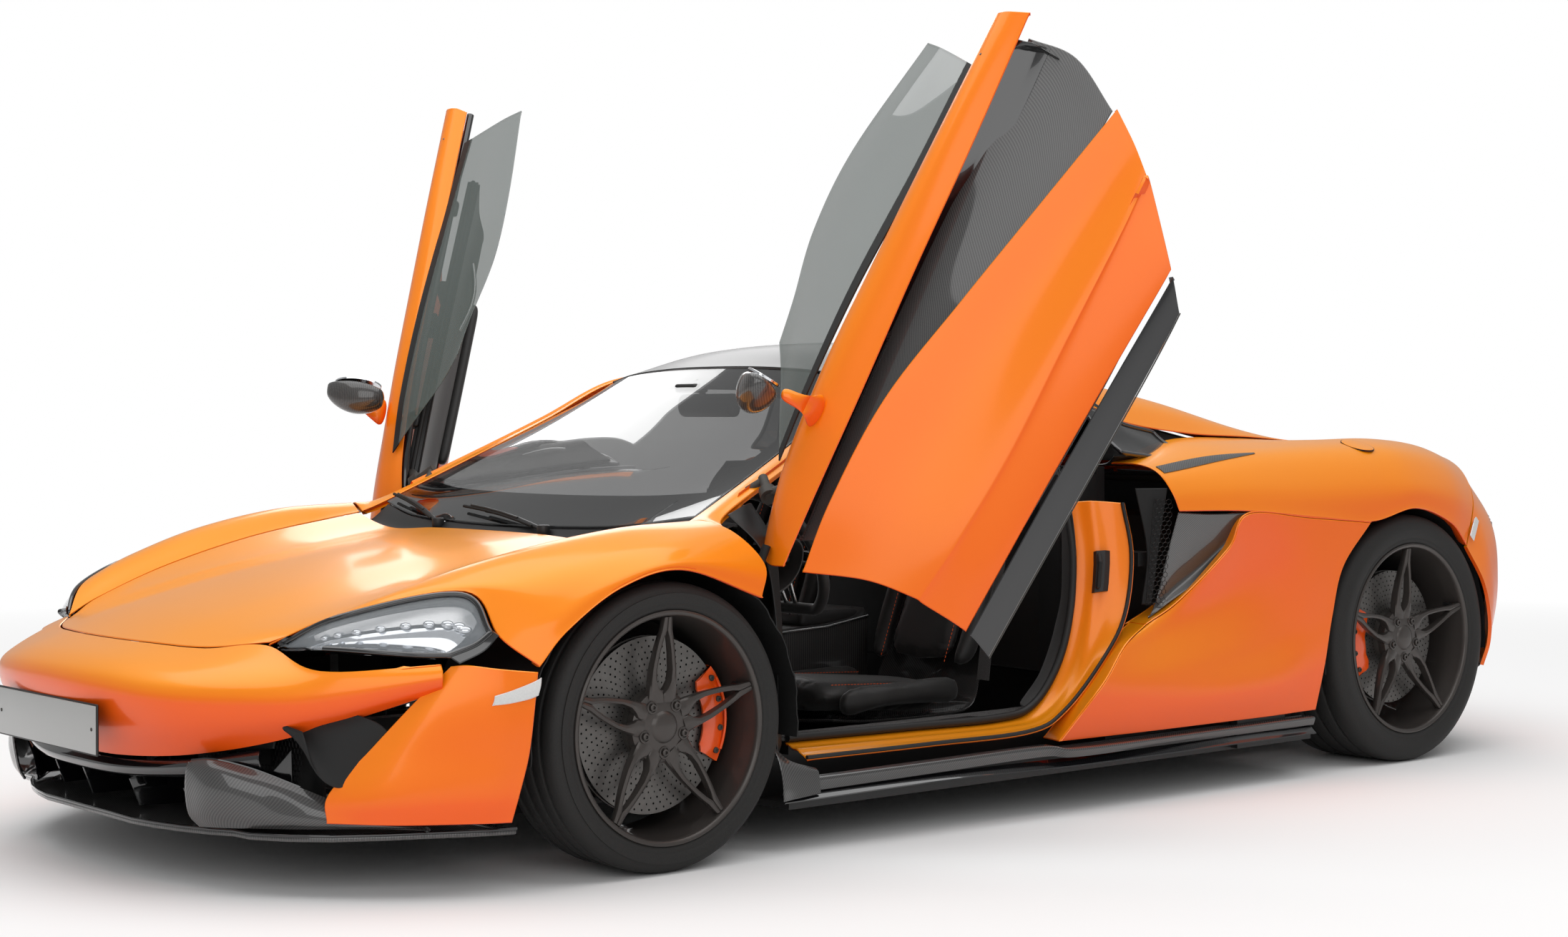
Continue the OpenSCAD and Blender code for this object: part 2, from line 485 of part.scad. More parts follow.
module steering_wheel() color("#222222") wheel_tilt() {
    rotate_extrude($fn = 60) translate([steer_r, 0]) circle(15, $fn = 16);
    difference() {
        union() {
            cylinder(h = 24, r = 50, center = true, $fn = 36);
            for (a = [0, 90, 180]) rotate([0, 0, a]) translate([0, -14, -6]) cube([steer_r, 28, 12]);
        }
        translate([0, 0, -13]) cylinder(h = 20, r = column_r + seat, $fn = 36);
    }
}

// ---- doors, drawn closed and then raised ----
// A shape that stands on the door's hinge line, so far along it
module door_line(from) {
    translate(scaled(hinge_pos) + hinge_axis * from)
        rotate([0, acos(hinge_axis[2]), atan2(hinge_axis[1], hinge_axis[0])]) children();
}
panel_surface = inset(smooth(door_panel_rows, 16, 8), shut_gap / 2);
fold_surface = inset(smooth(recess_rows, 12, 4), shut_gap / 2);
shoulder_surface = inset(smooth(shoulder_rows, 15, 6), shut_gap / 2);
pane_surface = inset(smooth(door_glass_rows, 10, 6), shut_gap / 2);
module door_panel(side) color("darkorange") raised(side) {
    panel(panel_surface, panel_t);
    panel(fold_surface, 8);
    panel(shoulder_surface, 12);
}
module door_glass(side) color("#8d978f") raised(side) panel(pane_surface, glass_t);
// The inner panel carries the skins on pads and turns on the hinge pin
module door_trim(side) color("#1a1a1a") raised(side) {
    patch(door_trim_rows, 9, 6, 0, 40);
    pad(panel_surface, panel_t + seat, 80, 2, 3, 2, 6);
    pad(panel_surface, panel_t + seat, 80, 10, 11, 2, 6);
    pad(fold_surface, 8 + seat, 60, 3, 4, 0, 2);
    post(shoulder_surface, 12 + seat, 5, 2, [-95, 0, -30]);
    mirror([1, 0, 0]) post([for (r = pane_surface) [for (p = r) flipped(p)]], seat, 4, 0, [45, 0, -70]);
    difference() {
        hull() {
            door_line(-246) cylinder(h = 28, r = door_pin + 9, $fn = 36);
            translate(scaled([806, -770, 762])) sphere(12, $fn = 12);
        }
        door_line(-260) cylinder(h = 55, r = door_pin + seat, $fn = 48);
    }
}
module mirror_unit(side) color("#222222") raised(side) {
    hull() {
        translate(scaled([912, -602, 803])) sphere(10, $fn = 12);
        translate(scaled([956, -604, 830])) sphere(12, $fn = 12);
    }
    hull() {
        translate(scaled([956, -604, 830])) sphere(12, $fn = 12);
        translate(scaled([966, -606, 900])) sphere(12, $fn = 12);
    }
    hull() {
        translate(scaled([967, -638, 930])) sphere(48, $fn = 16);
        translate(scaled([969, -554, 976])) sphere(48, $fn = 16);
    }
}

// ---- running gear ----
module tyre_ring(r, rim, w) {
    h = w / 2;
    rotate_extrude($fn = 72) polygon([[rim, -h + 14], [rim + 14, -h + 5], [(r + rim) / 2, -h], [r - 22, -h + 5],
        [r - 6, -h + 14], [r, -h + 34], [r, h - 34], [r - 6, h - 14], [r - 22, h - 5], [(r + rim) / 2, h],
        [rim + 14, h - 5], [rim, h - 14]]);
}
module rim_wheel(rim, w) {
    h = w / 2;
    rotate_extrude($fn = 72) polygon([[rim - 1, -h + 15], [rim - 1, h - 15], [rim - 1, h - 6], [rim - 12, h - 6],
        [rim - 20, h - 40], [rim - 24, -h + 30], [rim - 12, -h + 6], [rim - 1, -h + 6]]);
    translate([0, 0, h - 70]) difference() {
        union() {
            cylinder(h = 40, r = 82, $fn = 48);
            for (k = [0:spokes-1], a = [-7, 7]) rotate([0, 0, k * 360 / spokes + a])
                translate([70, -8, 8]) cube([rim - 80, 16, 28]);
        }
        translate([0, 0, -1]) cylinder(h = 42, r = spindle_r + 0.08, $fn = 48);
        for (k = [0:4]) rotate([0, 0, 36 + k * 72]) translate([56, 0, -1]) cylinder(h = 42, r = 7, $fn = 24);
    }
}
module disc_ring(r, w) {
    translate([0, 0, w / 2 - 114]) difference() {
        union() {
            cylinder(h = 32, r = r, $fn = 72);
            cylinder(h = 46, r = 78, $fn = 64);
        }
        translate([0, 0, -1]) cylinder(h = 50, r = spindle_r + 0.08, $fn = 48);
    }
}
module front_tyre(side) color("#1b1b1b") axle_frame(side, front_x, front_y, front_r) tyre_ring(front_r, front_rim, front_w);
module rear_tyre(side) color("#1b1b1b") axle_frame(side, rear_x, rear_y, rear_r) tyre_ring(rear_r, rear_rim, rear_w);
module front_rim_node(side) color("#3a3836") axle_frame(side, front_x, front_y, front_r) {
    rim_wheel(front_rim, front_w);
    disc_ring(front_disc, front_w);
}
module rear_rim_node(side) color("#3a3836") axle_frame(side, rear_x, rear_y, rear_r) {
    rim_wheel(rear_rim, rear_w);
    disc_ring(rear_disc, rear_w);
}
// A caliper bridges the disc over an angle, with a slot that the disc turns in
module caliper(r, w, from) {
    translate([0, 0, w / 2 - 114]) rotate([0, 0, from]) difference() {
        rotate_extrude(angle = 64, $fn = 72) translate([r - 62, -26]) square([80, 72]);
        translate([0, 0, -6]) cylinder(h = 44, r = r + 6, $fn = 72);
    }
}
module knuckle(side) color("#505050") axle_frame(side, front_x, front_y, front_r) {
    translate([0, 0, -60]) cylinder(h = 100, r = spindle_r, $fn = 48);
    translate([0, 0, -62]) cylinder(h = 30, r = 60, $fn = 48);
    translate([0, 0, -36]) rotate([-90, 0, 0]) translate([0, 0, arm_low + arm_t + seat])
        cylinder(h = arm_high - arm_low - arm_t - 2 * seat, r = 20, $fn = 36);
    caliper(front_disc, front_w, -28);
    translate([50, -25, -50]) cube([110, 50, 26]);
}
module suspension() color("#3a3a3a") pair() {
    for (z = [arm_low, arm_high]) {
        block([430 * wide, front_y - 25, front_r + z], [kingpin_x + 20, front_y + 25, front_r + z + arm_t]);
        block([400 * wide, rear_y - 30, rear_r + z], [rear_x - 60, rear_y + 30, rear_r + z + arm_t]);
    }
    axle_frame(1, rear_x, rear_y, rear_r) {
        translate([0, 0, -120]) cylinder(h = 180, r = spindle_r, $fn = 48);
        translate([-30, arm_low + arm_t, -62]) cube([60, arm_high - arm_low - arm_t, 40]);
        translate([-rear_disc + 45, -25, -40]) cube([125, 50, rear_w / 2 - 100 - seat]);
    }
}
module rear_calipers() color("darkorange") pair() axle_frame(1, rear_x, rear_y, rear_r) caliper(rear_disc, rear_w, 150);

tub();
door_jambs();
front_fenders();
front_bumper();
front_intake();
splitter();
bonnet();
headlamps();
windscreen();
roof();
rear_fenders();
rear_deck();
engine_cover();
rear_glass();
side_intakes();
side_skirts();
rear_bumper();
tail_grille();
tail_lamps();
exhausts();
diffuser();
undertray();
wheel_housings();
engine_block();
dashboard();
console();
seats();
steering_wheel();
suspension();
rear_calipers();
door_panel(1);  // left_door_panel
door_glass(1);  // left_door_glass
door_trim(1);  // left_door_trim
mirror_unit(1);  // left_mirror
door_panel(-1);  // right_door_panel
door_glass(-1);  // right_door_glass
door_trim(-1);  // right_door_trim
mirror_unit(-1);  // right_mirror
knuckle(1);  // front_left_knuckle
knuckle(-1);  // front_right_knuckle
front_tyre(1);  // front_left_tyre
front_tyre(-1);  // front_right_tyre
rear_tyre(1);  // rear_left_tyre
rear_tyre(-1);  // rear_right_tyre
front_rim_node(1);  // front_left_rim
front_rim_node(-1);  // front_right_rim
rear_rim_node(1);  // rear_left_rim
rear_rim_node(-1);  // rear_right_rim
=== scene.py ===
# %% [markdown]
# # A mid-engined supercar with its doors raised
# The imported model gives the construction: real sizes, bodies and joints. This lesson dresses it, piece
# by piece, in painted panels, glass, carbon, rubber, leather and cast alloy. The frame comes first,
# because every piece afterwards rides on one of its bodies.

# %% The frame
import math

import bmesh
import bpy
from mathutils import Matrix, Vector


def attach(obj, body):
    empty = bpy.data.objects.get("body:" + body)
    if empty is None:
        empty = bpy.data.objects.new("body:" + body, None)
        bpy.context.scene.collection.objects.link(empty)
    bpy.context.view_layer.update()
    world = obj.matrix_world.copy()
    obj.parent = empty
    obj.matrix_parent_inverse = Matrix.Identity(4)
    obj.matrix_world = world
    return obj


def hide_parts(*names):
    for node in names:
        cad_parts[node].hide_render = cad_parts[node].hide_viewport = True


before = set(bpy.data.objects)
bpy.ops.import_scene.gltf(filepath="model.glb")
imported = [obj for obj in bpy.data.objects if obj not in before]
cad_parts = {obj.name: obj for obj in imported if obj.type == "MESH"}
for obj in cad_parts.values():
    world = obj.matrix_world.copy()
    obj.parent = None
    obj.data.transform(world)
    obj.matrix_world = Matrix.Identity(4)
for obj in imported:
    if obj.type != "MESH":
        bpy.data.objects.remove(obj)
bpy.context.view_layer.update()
MM = 0.001
FRONT = Vector((0.831, -1.235, 0.320))
REAR = Vector((0.805, 1.435, 0.354))

# %% [markdown]
# ## Camera, floor and light
# A wide lens close to a car would stretch its nose and squash its wheels. A long lens far away keeps the
# wheels round and the flanks at their length, so that was chosen. The camera stands level with the waist
# of the car, off its front left corner. The floor and the world are pale for the camera and for
# reflections, while the lamps above stay soft and plain.

# %% Camera
TURN, DIP, ROLL = 0.8786, 0.0035, -0.0039
forward = Vector((-math.sin(TURN) * math.cos(DIP), math.cos(TURN) * math.cos(DIP), -math.sin(DIP)))
camera_data = bpy.data.cameras.new("camera")
camera_data.lens, camera_data.sensor_width = 57.66, 36.0
camera_data.shift_x, camera_data.shift_y = 0.0118, -0.0324
camera = bpy.data.objects.new("camera", camera_data)
bpy.context.scene.collection.objects.link(camera)
camera.matrix_world = (Matrix.Translation((5.299, -4.581, 1.018))
                       @ forward.to_track_quat("-Z", "Y").to_matrix().to_4x4()
                       @ Matrix.Rotation(ROLL, 4, "Z"))
bpy.context.scene.camera = camera
bpy.context.scene.view_settings.view_transform = "Standard"
print("camera stands", round(camera.location.length, 2), "m from the car's middle")


# %% [markdown]
# ## Writing shader maths as Python
# A shader is a web of small nodes. Wrapping a socket in a class whose operators add Math nodes lets a
# pattern be written as a formula, and one method makes every other kind of node.

# %% Wires and finishes
class Wire:
    """One socket, which can be added, multiplied and compared like a number."""

    def __init__(self, tree, socket):
        self.tree, self.socket = tree, socket

    def maths(self, operation, *values):
        node = self.tree.nodes.new("ShaderNodeMath")
        node.operation = operation
        for slot, value in zip(node.inputs, values):
            plug(self.tree, slot, value)
        return Wire(self.tree, node.outputs[0])

    def __add__(self, other):
        return self.maths("ADD", self, other)

    def __sub__(self, other):
        return self.maths("SUBTRACT", self, other)

    def __rsub__(self, other):
        return self.maths("SUBTRACT", other, self)

    def __mul__(self, other):
        return self.maths("MULTIPLY", self, other)

    def __truediv__(self, other):
        return self.maths("DIVIDE", self, other)

    def __mod__(self, other):
        return self.maths("FLOORED_MODULO", self, other)

    def __lt__(self, other):
        return self.maths("LESS_THAN", self, other)

    def __gt__(self, other):
        return self.maths("GREATER_THAN", self, other)

    __radd__, __rmul__ = __add__, __mul__


def plug(tree, slot, value):
    if isinstance(value, Wire):
        tree.links.new(value.socket, slot)
    else:
        slot.default_value = value


class Finish:
    """A material with one Principled shader; varying inputs come from its own nodes."""

    def __init__(self, name, **constants):
        self.material = bpy.data.materials.new(name)
        self.material.use_nodes = True
        self.tree = self.material.node_tree
        self.shader = self.tree.nodes["Principled BSDF"]
        for socket, value in constants.items():
            self.shader.inputs[socket.replace("_", " ")].default_value = value

    def node(self, kind, settings=None, out=0, **sockets):
        made = self.tree.nodes.new(kind)
        for key, value in (settings or {}).items():
            if key == "stops":
                ramp = made.color_ramp
                while len(ramp.elements) < len(value):
                    ramp.elements.new(0.5)
                for stop, (place, colour) in zip(ramp.elements, value):
                    stop.position, stop.color = place, colour
            else:
                setattr(made, key, value)
        for key, value in sockets.items():
            slot = made.inputs[int(key[1:])] if key[1:].isdigit() else made.inputs[key.replace("_", " ")]
            plug(self.tree, slot, value)
        return Wire(self.tree, made.outputs[out])

    def axes(self, source="Object"):
        """The three coordinates of a point, as wires."""
        at = self.node("ShaderNodeTexCoord", out=("Generated", "Normal", "UV", "Object").index(source))
        return [self.node("ShaderNodeSeparateXYZ", out=k, Vector=at) for k in range(3)]

    def noise(self, scale, detail=2.0, source="Object"):
        at = self.node("ShaderNodeTexCoord", out=("Generated", "Normal", "UV", "Object").index(source))
        return self.node("ShaderNodeTexNoise", Vector=at, Scale=scale, Detail=detail)

    def ramp(self, wire, *stops):
        return self.node("ShaderNodeValToRGB", {"stops": stops}, Fac=wire)

    def mix(self, mask, first, second):
        return self.node("ShaderNodeMix", {"data_type": "RGBA"}, out=2, _0=mask, _6=first, _7=second)

    def feed(self, socket, wire):
        self.tree.links.new(wire.socket, self.shader.inputs[socket.replace("_", " ")])
        return self

    def bump(self, height, strength=0.3, distance=0.001):
        return self.feed("Normal", self.node("ShaderNodeBump", Height=height, Strength=strength,
                                             Distance=distance))


def rgba(hexadecimal):
    """A colour as it is seen, turned into the linear light that a shader needs."""
    parts = [int(hexadecimal[k:k + 2], 16) / 255 for k in (0, 2, 4)]
    return (*[p / 12.92 if p < 0.04045 else ((p + 0.055) / 1.055) ** 2.4 for p in parts], 1.0)


# %% Floor and lamps
def add_floor():
    bpy.ops.mesh.primitive_circle_add(vertices=96, radius=60, fill_type="NGON")
    floor = bpy.context.object
    floor.name = "floor"
    pale = Finish("floor_paper", Roughness=0.9, Specular_IOR_Level=0.1)
    x, y, _ = pale.axes()
    away = ((x * x + y * y).maths("SQRT", x * x + y * y) - 3.2) / 4.0
    pale.shader.inputs["Base Color"].default_value = (0.93, 0.93, 0.93, 1)
    glow = pale.node("ShaderNodeEmission", Color=(1, 1, 1, 1), Strength=1.0)
    seen = pale.node("ShaderNodeLightPath", out=0)
    fade = away.maths("MINIMUM", away.maths("MAXIMUM", away, 0.0), 1.0) * seen
    mixed = pale.node("ShaderNodeMixShader", _0=fade, _2=glow)
    mixer = mixed.socket.node
    pale.tree.links.new(pale.shader.outputs[0], mixer.inputs[1])
    pale.tree.links.new(mixer.outputs[0], pale.tree.nodes["Material Output"].inputs[0])
    floor.data.materials.append(pale.material)


def add_lamp(name, place, size, power, aim=(0, 0, 0.5)):
    light = bpy.data.lights.new(name, "AREA")
    light.shape, light.size, light.size_y, light.energy = "RECTANGLE", size[0], size[1], power
    lamp = bpy.data.objects.new(name, light)
    lamp.location = place
    lamp.rotation_euler = (Vector(aim) - Vector(place)).to_track_quat("-Z", "Y").to_euler()
    bpy.context.scene.collection.objects.link(lamp)


def add_world():
    world = bpy.data.worlds.new("studio")
    bpy.context.scene.world = world
    world.use_nodes = True
    tree = world.node_tree
    back = tree.nodes["Background"]
    path = tree.nodes.new("ShaderNodeLightPath")
    seen = Wire(tree, path.outputs["Is Camera Ray"]) + Wire(tree, path.outputs["Is Transmission Ray"])
    shine = Wire(tree, path.outputs["Is Glossy Ray"]) * 0.40
    level = (seen + shine).maths("MAXIMUM", seen + shine, 0.40)
    tree.links.new(level.maths("MINIMUM", level, 1.0).socket, back.inputs["Strength"])
    back.inputs["Color"].default_value = (1, 1, 1, 1)


add_floor()
add_world()
add_lamp("overhead", (0.5, -0.4, 6.0), (10.0, 7.0), 360)
add_lamp("front_left", (7.0, -6.0, 4.2), (8.0, 5.0), 200)
add_lamp("rear_right", (-5.5, 4.0, 4.2), (5.0, 3.0), 130)

# %% [markdown]
# ## Finishes
# The paint is a metallic orange under clear lacquer: a coat layer gives the sharp reflections and the flakes
# beneath give the soft glow. Its base colour is painted redder where a panel faces down and yellower where it
# faces the sky: painted light and shade by facing. Carbon is a two-by-two twill under the same lacquer, drawn
# as a formula on each panel's own map in metres, with the crown of each thread painted lighter, a painted sheen.

# %% Paint and lacquered finishes
def orange_paint():
    paint = Finish("orange_paint", Metallic=0.15, Coat_Weight=0.5, Coat_Roughness=0.12, Coat_IOR=1.45,
                   Specular_IOR_Level=0.25)
    # Base colour by facing: painted shade makes down-facing panels redder and painted light makes up-facing ones
    # yellower.
    up = paint.node("ShaderNodeSeparateXYZ", out=2, Vector=paint.node("ShaderNodeNewGeometry", out=1))
    flake = paint.noise(900, 1.0)
    facing_shade = paint.ramp(up * 0.5 + 0.5, (0.0, (0.80, 0.060, 0.002, 1)), (0.45, (0.94, 0.115, 0.003, 1)),
                      (0.62, (1.0, 0.225, 0.002, 1)), (1.0, (1.0, 0.340, 0.003, 1)))
    paint.feed("Base_Color", paint.mix(flake * 0.05, facing_shade, (1.0, 0.42, 0.08, 1)))
    paint.feed("Roughness", flake * 0.10 + 0.30)
    return paint.material


def carbon(name="carbon", thread=0.0019, source="UV"):
    twill = Finish(name, Coat_Weight=1.0, Coat_Roughness=0.04, Metallic=0.0)
    u, v, _ = twill.axes(source)
    across, down = u / thread, v / thread
    cell = across.maths("FLOOR", across) + down.maths("FLOOR", down)
    over = (cell % 4.0) < 1.5
    inside = (across % 1.0) * over + (down % 1.0) * (1 - over)
    # Painted sheen: the crown of each thread is painted lighter, standing for light on the round tow; the
    # over-and-under twill itself is the weave's pattern.
    crown_sheen = inside.maths("SINE", inside * math.pi)
    shade = over * 0.5 + crown_sheen * 0.25
    twill.feed("Base_Color", twill.ramp(shade, (0.0, (0.006, 0.006, 0.007, 1)),
                                        (1.0, (0.085, 0.083, 0.080, 1))))
    twill.feed("Roughness", 0.5 - over * 0.18)
    return twill.material


def plain(name, colour, roughness, bump=0.0, scale=400, spread=0.06, **constants):
    """A moulded or coated finish: one colour with a little grain in its gloss and its surface."""
    made = Finish(name, **constants)
    grain = made.noise(scale, 3.0)
    darker = tuple(c * 0.8 for c in colour[:3]) + (1.0,)
    made.feed("Base_Color", made.mix(grain, darker, colour))
    made.feed("Roughness", grain * spread + (roughness - spread / 2))
    if bump:
        made.bump(grain, bump, 0.0004)
    return made.material


ORANGE = orange_paint()
CARBON = carbon()
CARBON_BLOCK = carbon("carbon_block", 0.0019, "Object")
GLOSS_BLACK = plain("gloss_black", (0.006, 0.006, 0.007, 1), 0.10, Coat_Weight=1.0, Coat_Roughness=0.02)
ROOF_BLACK = plain("roof_black", (0.008, 0.008, 0.008, 1), 0.35, 0.05, 900, Coat_Weight=0.15,
                   Coat_Roughness=0.15,
                   Specular_IOR_Level=0.2)
SATIN_BLACK = plain("satin_black", (0.012, 0.012, 0.012, 1), 0.45, 0.15, 1500)
DEEP_BLACK = plain("deep_black", (0.004, 0.004, 0.004, 1), 0.7, 0.1, 800)
RUBBER_SEAL = plain("rubber_seal", (0.010, 0.010, 0.010, 1), 0.55, 0.2, 900)
SILVER = plain("silver_trim", (0.62, 0.62, 0.62, 1), 0.25, Metallic=1.0)
CHROME = plain("bright_reflector", (0.85, 0.87, 0.90, 1), 0.08, Metallic=1.0)
RIM_GREY = plain("rim_grey", rgba("4A4542"), 0.42, 0.05, 2500, Metallic=0.55, Coat_Weight=0.25)
CAST_GREY = plain("cast_grey", rgba("55524E"), 0.6, 0.3, 700, Metallic=0.7)
CALIPER = plain("caliper_paint", rgba("FF5A0C"), 0.3, 0.1, 600, Coat_Weight=0.6, Coat_Roughness=0.1)
MARKER = plain("marker_lens", (0.74, 0.74, 0.73, 1), 0.3, 0.5, 260, Coat_Weight=1.0)
PLATE_FACE = plain("plate_face", (0.45, 0.45, 0.44, 1), 0.35, 0.1, 1800, Coat_Weight=0.4)
TAIL_RED = plain("tail_lens", (0.35, 0.004, 0.004, 1), 0.12, Coat_Weight=1.0)
STITCH = plain("orange_thread", rgba("E8590C"), 0.6, 0.5, 3000)


def glass(name, tint, alpha):
    """Tinted glass: mostly clear, with a coat that catches the sky."""
    pane = Finish(name, Roughness=0.02, Coat_Weight=1.0, Coat_Roughness=0.01, Metallic=0.0)
    shade = pane.noise(3.0, 1.0)
    pane.feed("Base_Color", pane.mix(shade, tint, tuple(c * 0.93 for c in tint[:3]) + (1.0,)))
    pane.feed("Alpha", shade * 0.03 + alpha)
    return pane.material


SIDE_GLASS = glass("side_glass", rgba("5F6A66"), 0.55)
SCREEN_GLASS = glass("screen_glass", rgba("0A0D0F"), 0.62)
LAMP_GLASS = glass("lamp_glass", rgba("DDE4EA"), 0.13)


def leather():
    hide = Finish("black_leather", Sheen_Weight=0.15)
    grain = hide.noise(420, 6.0)
    # Painted shade: large soft blotches darken and lighten the base colour, standing for folds that have no shape
    # here.
    fold_shade = hide.noise(14, 2.0)
    hide.feed("Base_Color", hide.mix(fold_shade, (0.010, 0.0095, 0.009, 1), (0.022, 0.021, 0.020, 1)))
    hide.feed("Roughness", grain * 0.2 + 0.42)
    return hide.bump(grain, 0.35, 0.0008).material


def carpet():
    pile = Finish("carpet", Sheen_Weight=0.3)
    tuft = pile.noise(900, 4.0)
    pile.feed("Base_Color", pile.mix(tuft, (0.004, 0.0035, 0.003, 1), (0.035, 0.030, 0.026, 1)))
    pile.feed("Roughness", tuft * 0.1 + 0.9)
    return pile.bump(tuft, 1.0, 0.004).material


LEATHER, CARPET = leather(), carpet()
print("finishes:", len(bpy.data.materials))

# %% [markdown]
# ## Panels from stations
# A pressed panel is a smooth sheet that passes through a few known points. Each table holds rows from
# front to rear, each row runs outward and down, and a cubic through the points fills in the rest. A
# crease column splits the cubic so that the fold stays sharp. The edge is rolled under by two
# millimetres, as on a real pressing, and Solidify gives the sheet its thickness.

# %% Surfaces
def through(points, t):
    """A point on the cubic that passes through every one of the points."""
    last = len(points) - 1
    k = min(int(t), last - 1)
    f = t - k
    b, c = points[k], points[k + 1]
    a = points[k - 1] if k else b * 2 - c
    d = points[k + 2] if k + 2 <= last else c * 2 - b
    return b + ((c - a) + ((a * 2 - b * 5 + c * 4 - d) + (b * 3 - a - c * 3 + d) * f) * f) * (0.5 * f)


def run(points, count, creases=()):
    """count + 1 points along a row; the cubic starts afresh at each crease."""
    stops = [0, *creases, len(points) - 1]
    made = []
    for k in range(count + 1):
        t = k * (len(points) - 1) / count
        low = max(s for s in stops if s <= t or s == 0)
        if low == stops[-1]:
            low = stops[-2]
        high = min(s for s in stops if s > low)
        made.append(through(points[low:high + 1], t - low))
    return made


def surface(table, nu, nv, creases=(), row_creases=()):
    points = [[Vector(p) * MM for p in row] for row in table]
    columns = [run(list(column), nu, row_creases) for column in zip(*points)]
    return [run(list(row), nv, creases) for row in zip(*columns)]


def toward(a, b, gap):
    return a + (b - a).normalized() * gap


def trimmed(grid, gap):
    """The sheet cut back by gap along its four edges."""
    rows = [[toward(grid[0][j], grid[1][j], gap) for j in range(len(grid[0]))], *grid[1:-1],
            [toward(grid[-1][j], grid[-2][j], gap) for j in range(len(grid[0]))]]
    return [[toward(r[0], r[1], gap), *r[1:-1], toward(r[-1], r[-2], gap)] for r in rows]


def inward(grid, i, j):
    a, b = grid[min(i + 1, len(grid) - 1)][j], grid[max(i - 1, 0)][j]
    c, d = grid[i][min(j + 1, len(grid[0]) - 1)], grid[i][max(j - 1, 0)]
    return (a - b).cross(c - d).normalized()


def sunk(grid, depth):
    return [[grid[i][j] + inward(grid, i, j) * depth for j in range(len(grid[0]))] for i in range(len(grid))]


def rolled(grid, lip):
    """One more ring of points just inside the edge, with the edge itself turned under."""
    low = sunk(grid, lip)
    rows = [low[0], *grid, low[-1]]
    rows[1] = [toward(a, b, lip) for a, b in zip(grid[0], grid[1])]
    rows[-2] = [toward(a, b, lip) for a, b in zip(grid[-1], grid[-2])]
    made = []
    for i, row in enumerate(rows):
        near = low[min(max(i - 1, 0), len(grid) - 1)]
        made.append([near[0], toward(row[0], row[1], lip), *row[1:-1], toward(row[-1], row[-2], lip), near[-1]])
    return made


def flipped(p):
    return Vector((-p.x, p.y, p.z))


def other_side(grid):
    return [[flipped(p) for p in reversed(row)] for row in grid]


def both_sides(table):
    return [[(-p[0], p[1], p[2]) for p in reversed(row[1:])] + list(row) for row in table]


def both_ends(table):
    return [[(-p[0], p[1], p[2]) for p in row] for row in reversed(table[1:])] + list(table)


def grid_mesh(name, grid, material, loop=False):
    """A mesh of quads over the grid, mapped in metres along its rows and columns."""
    n, m = len(grid), len(grid[0])
    mesh = bpy.data.meshes.new(name)
    faces = [(i * m + j, i * m + (j + 1), ((i + 1) % n) * m + j + 1, ((i + 1) % n) * m + j)
             for i in range(n if loop else n - 1) for j in range(m - 1)]
    mesh.from_pydata([p for row in grid for p in row], [], faces)
    mesh.materials.append(material)
    mid = grid[n // 2]
    v_at = [0.0]
    for a, b in zip(mid, mid[1:]):
        v_at.append(v_at[-1] + (b - a).length)
    u_at = [0.0]
    for i in range(n):
        u_at.append(u_at[-1] + (grid[(i + 1) % n][m // 2] - grid[i][m // 2]).length)
    uv = mesh.uv_layers.new(name="map")
    for face in mesh.polygons:
        row = face.index // (m - 1)
        for corner, (di, dj) in zip(face.loop_indices, ((0, 0), (0, 1), (1, 1), (1, 0))):
            uv.data[corner].uv = (u_at[row + di], v_at[face.index % (m - 1) + dj])
    piece = bpy.data.objects.new(name, mesh)
    bpy.context.scene.collection.objects.link(piece)
    return piece


def only(piece):
    bpy.ops.object.select_all(action="DESELECT")
    bpy.context.view_layer.objects.active = piece
    piece.select_set(True)


def apply_modifier(piece, kind, **settings):
    only(piece)
    modifier = piece.modifiers.new(kind.lower(), kind)
    for key, value in settings.items():
        setattr(modifier, key, value)
    bpy.ops.object.modifier_apply(modifier=modifier.name)


def settle(piece, body, stands_for=(), angle=35):
    """The last steps for every piece: smooth shading, its body and what it stands for."""
    only(piece)
    bpy.ops.object.shade_smooth_by_angle(angle=math.radians(angle))
    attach(piece, body)
    for node in stands_for:
        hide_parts(node)
    return piece


def skin(name, grid, material, body, slot, thick=0.004, lip=0.002, stands_for=(), angle=35):
    piece = grid_mesh(name, rolled(grid, lip) if lip else grid, material)
    if thick:
        apply_modifier(piece, "SOLIDIFY", thickness=thick, offset=-1.0)
    return settle(piece, body, stands_for, angle)


def skins(name, grid, material, slot="orange_paint", body="body", stands_for=(), **more):
    """The same panel on both sides of the car."""
    skin("left_" + name, grid, material, body.format("left"), slot,
         stands_for=[n.format("left") for n in stands_for], **more)
    skin("right_" + name, other_side(grid), material, body.format("right"), slot,
         stands_for=[n.format("right") for n in stands_for], **more)


print("helpers ready")

# %% [markdown]
# ## Front end
# The luggage lid is a shallow shell between two raised fender peaks. The fenders fan round the wheel
# arch, so their rows turn with it. The nose is a slim bar over a wide black mouth, and a cheek panel
# closes each corner ahead of the wheel.

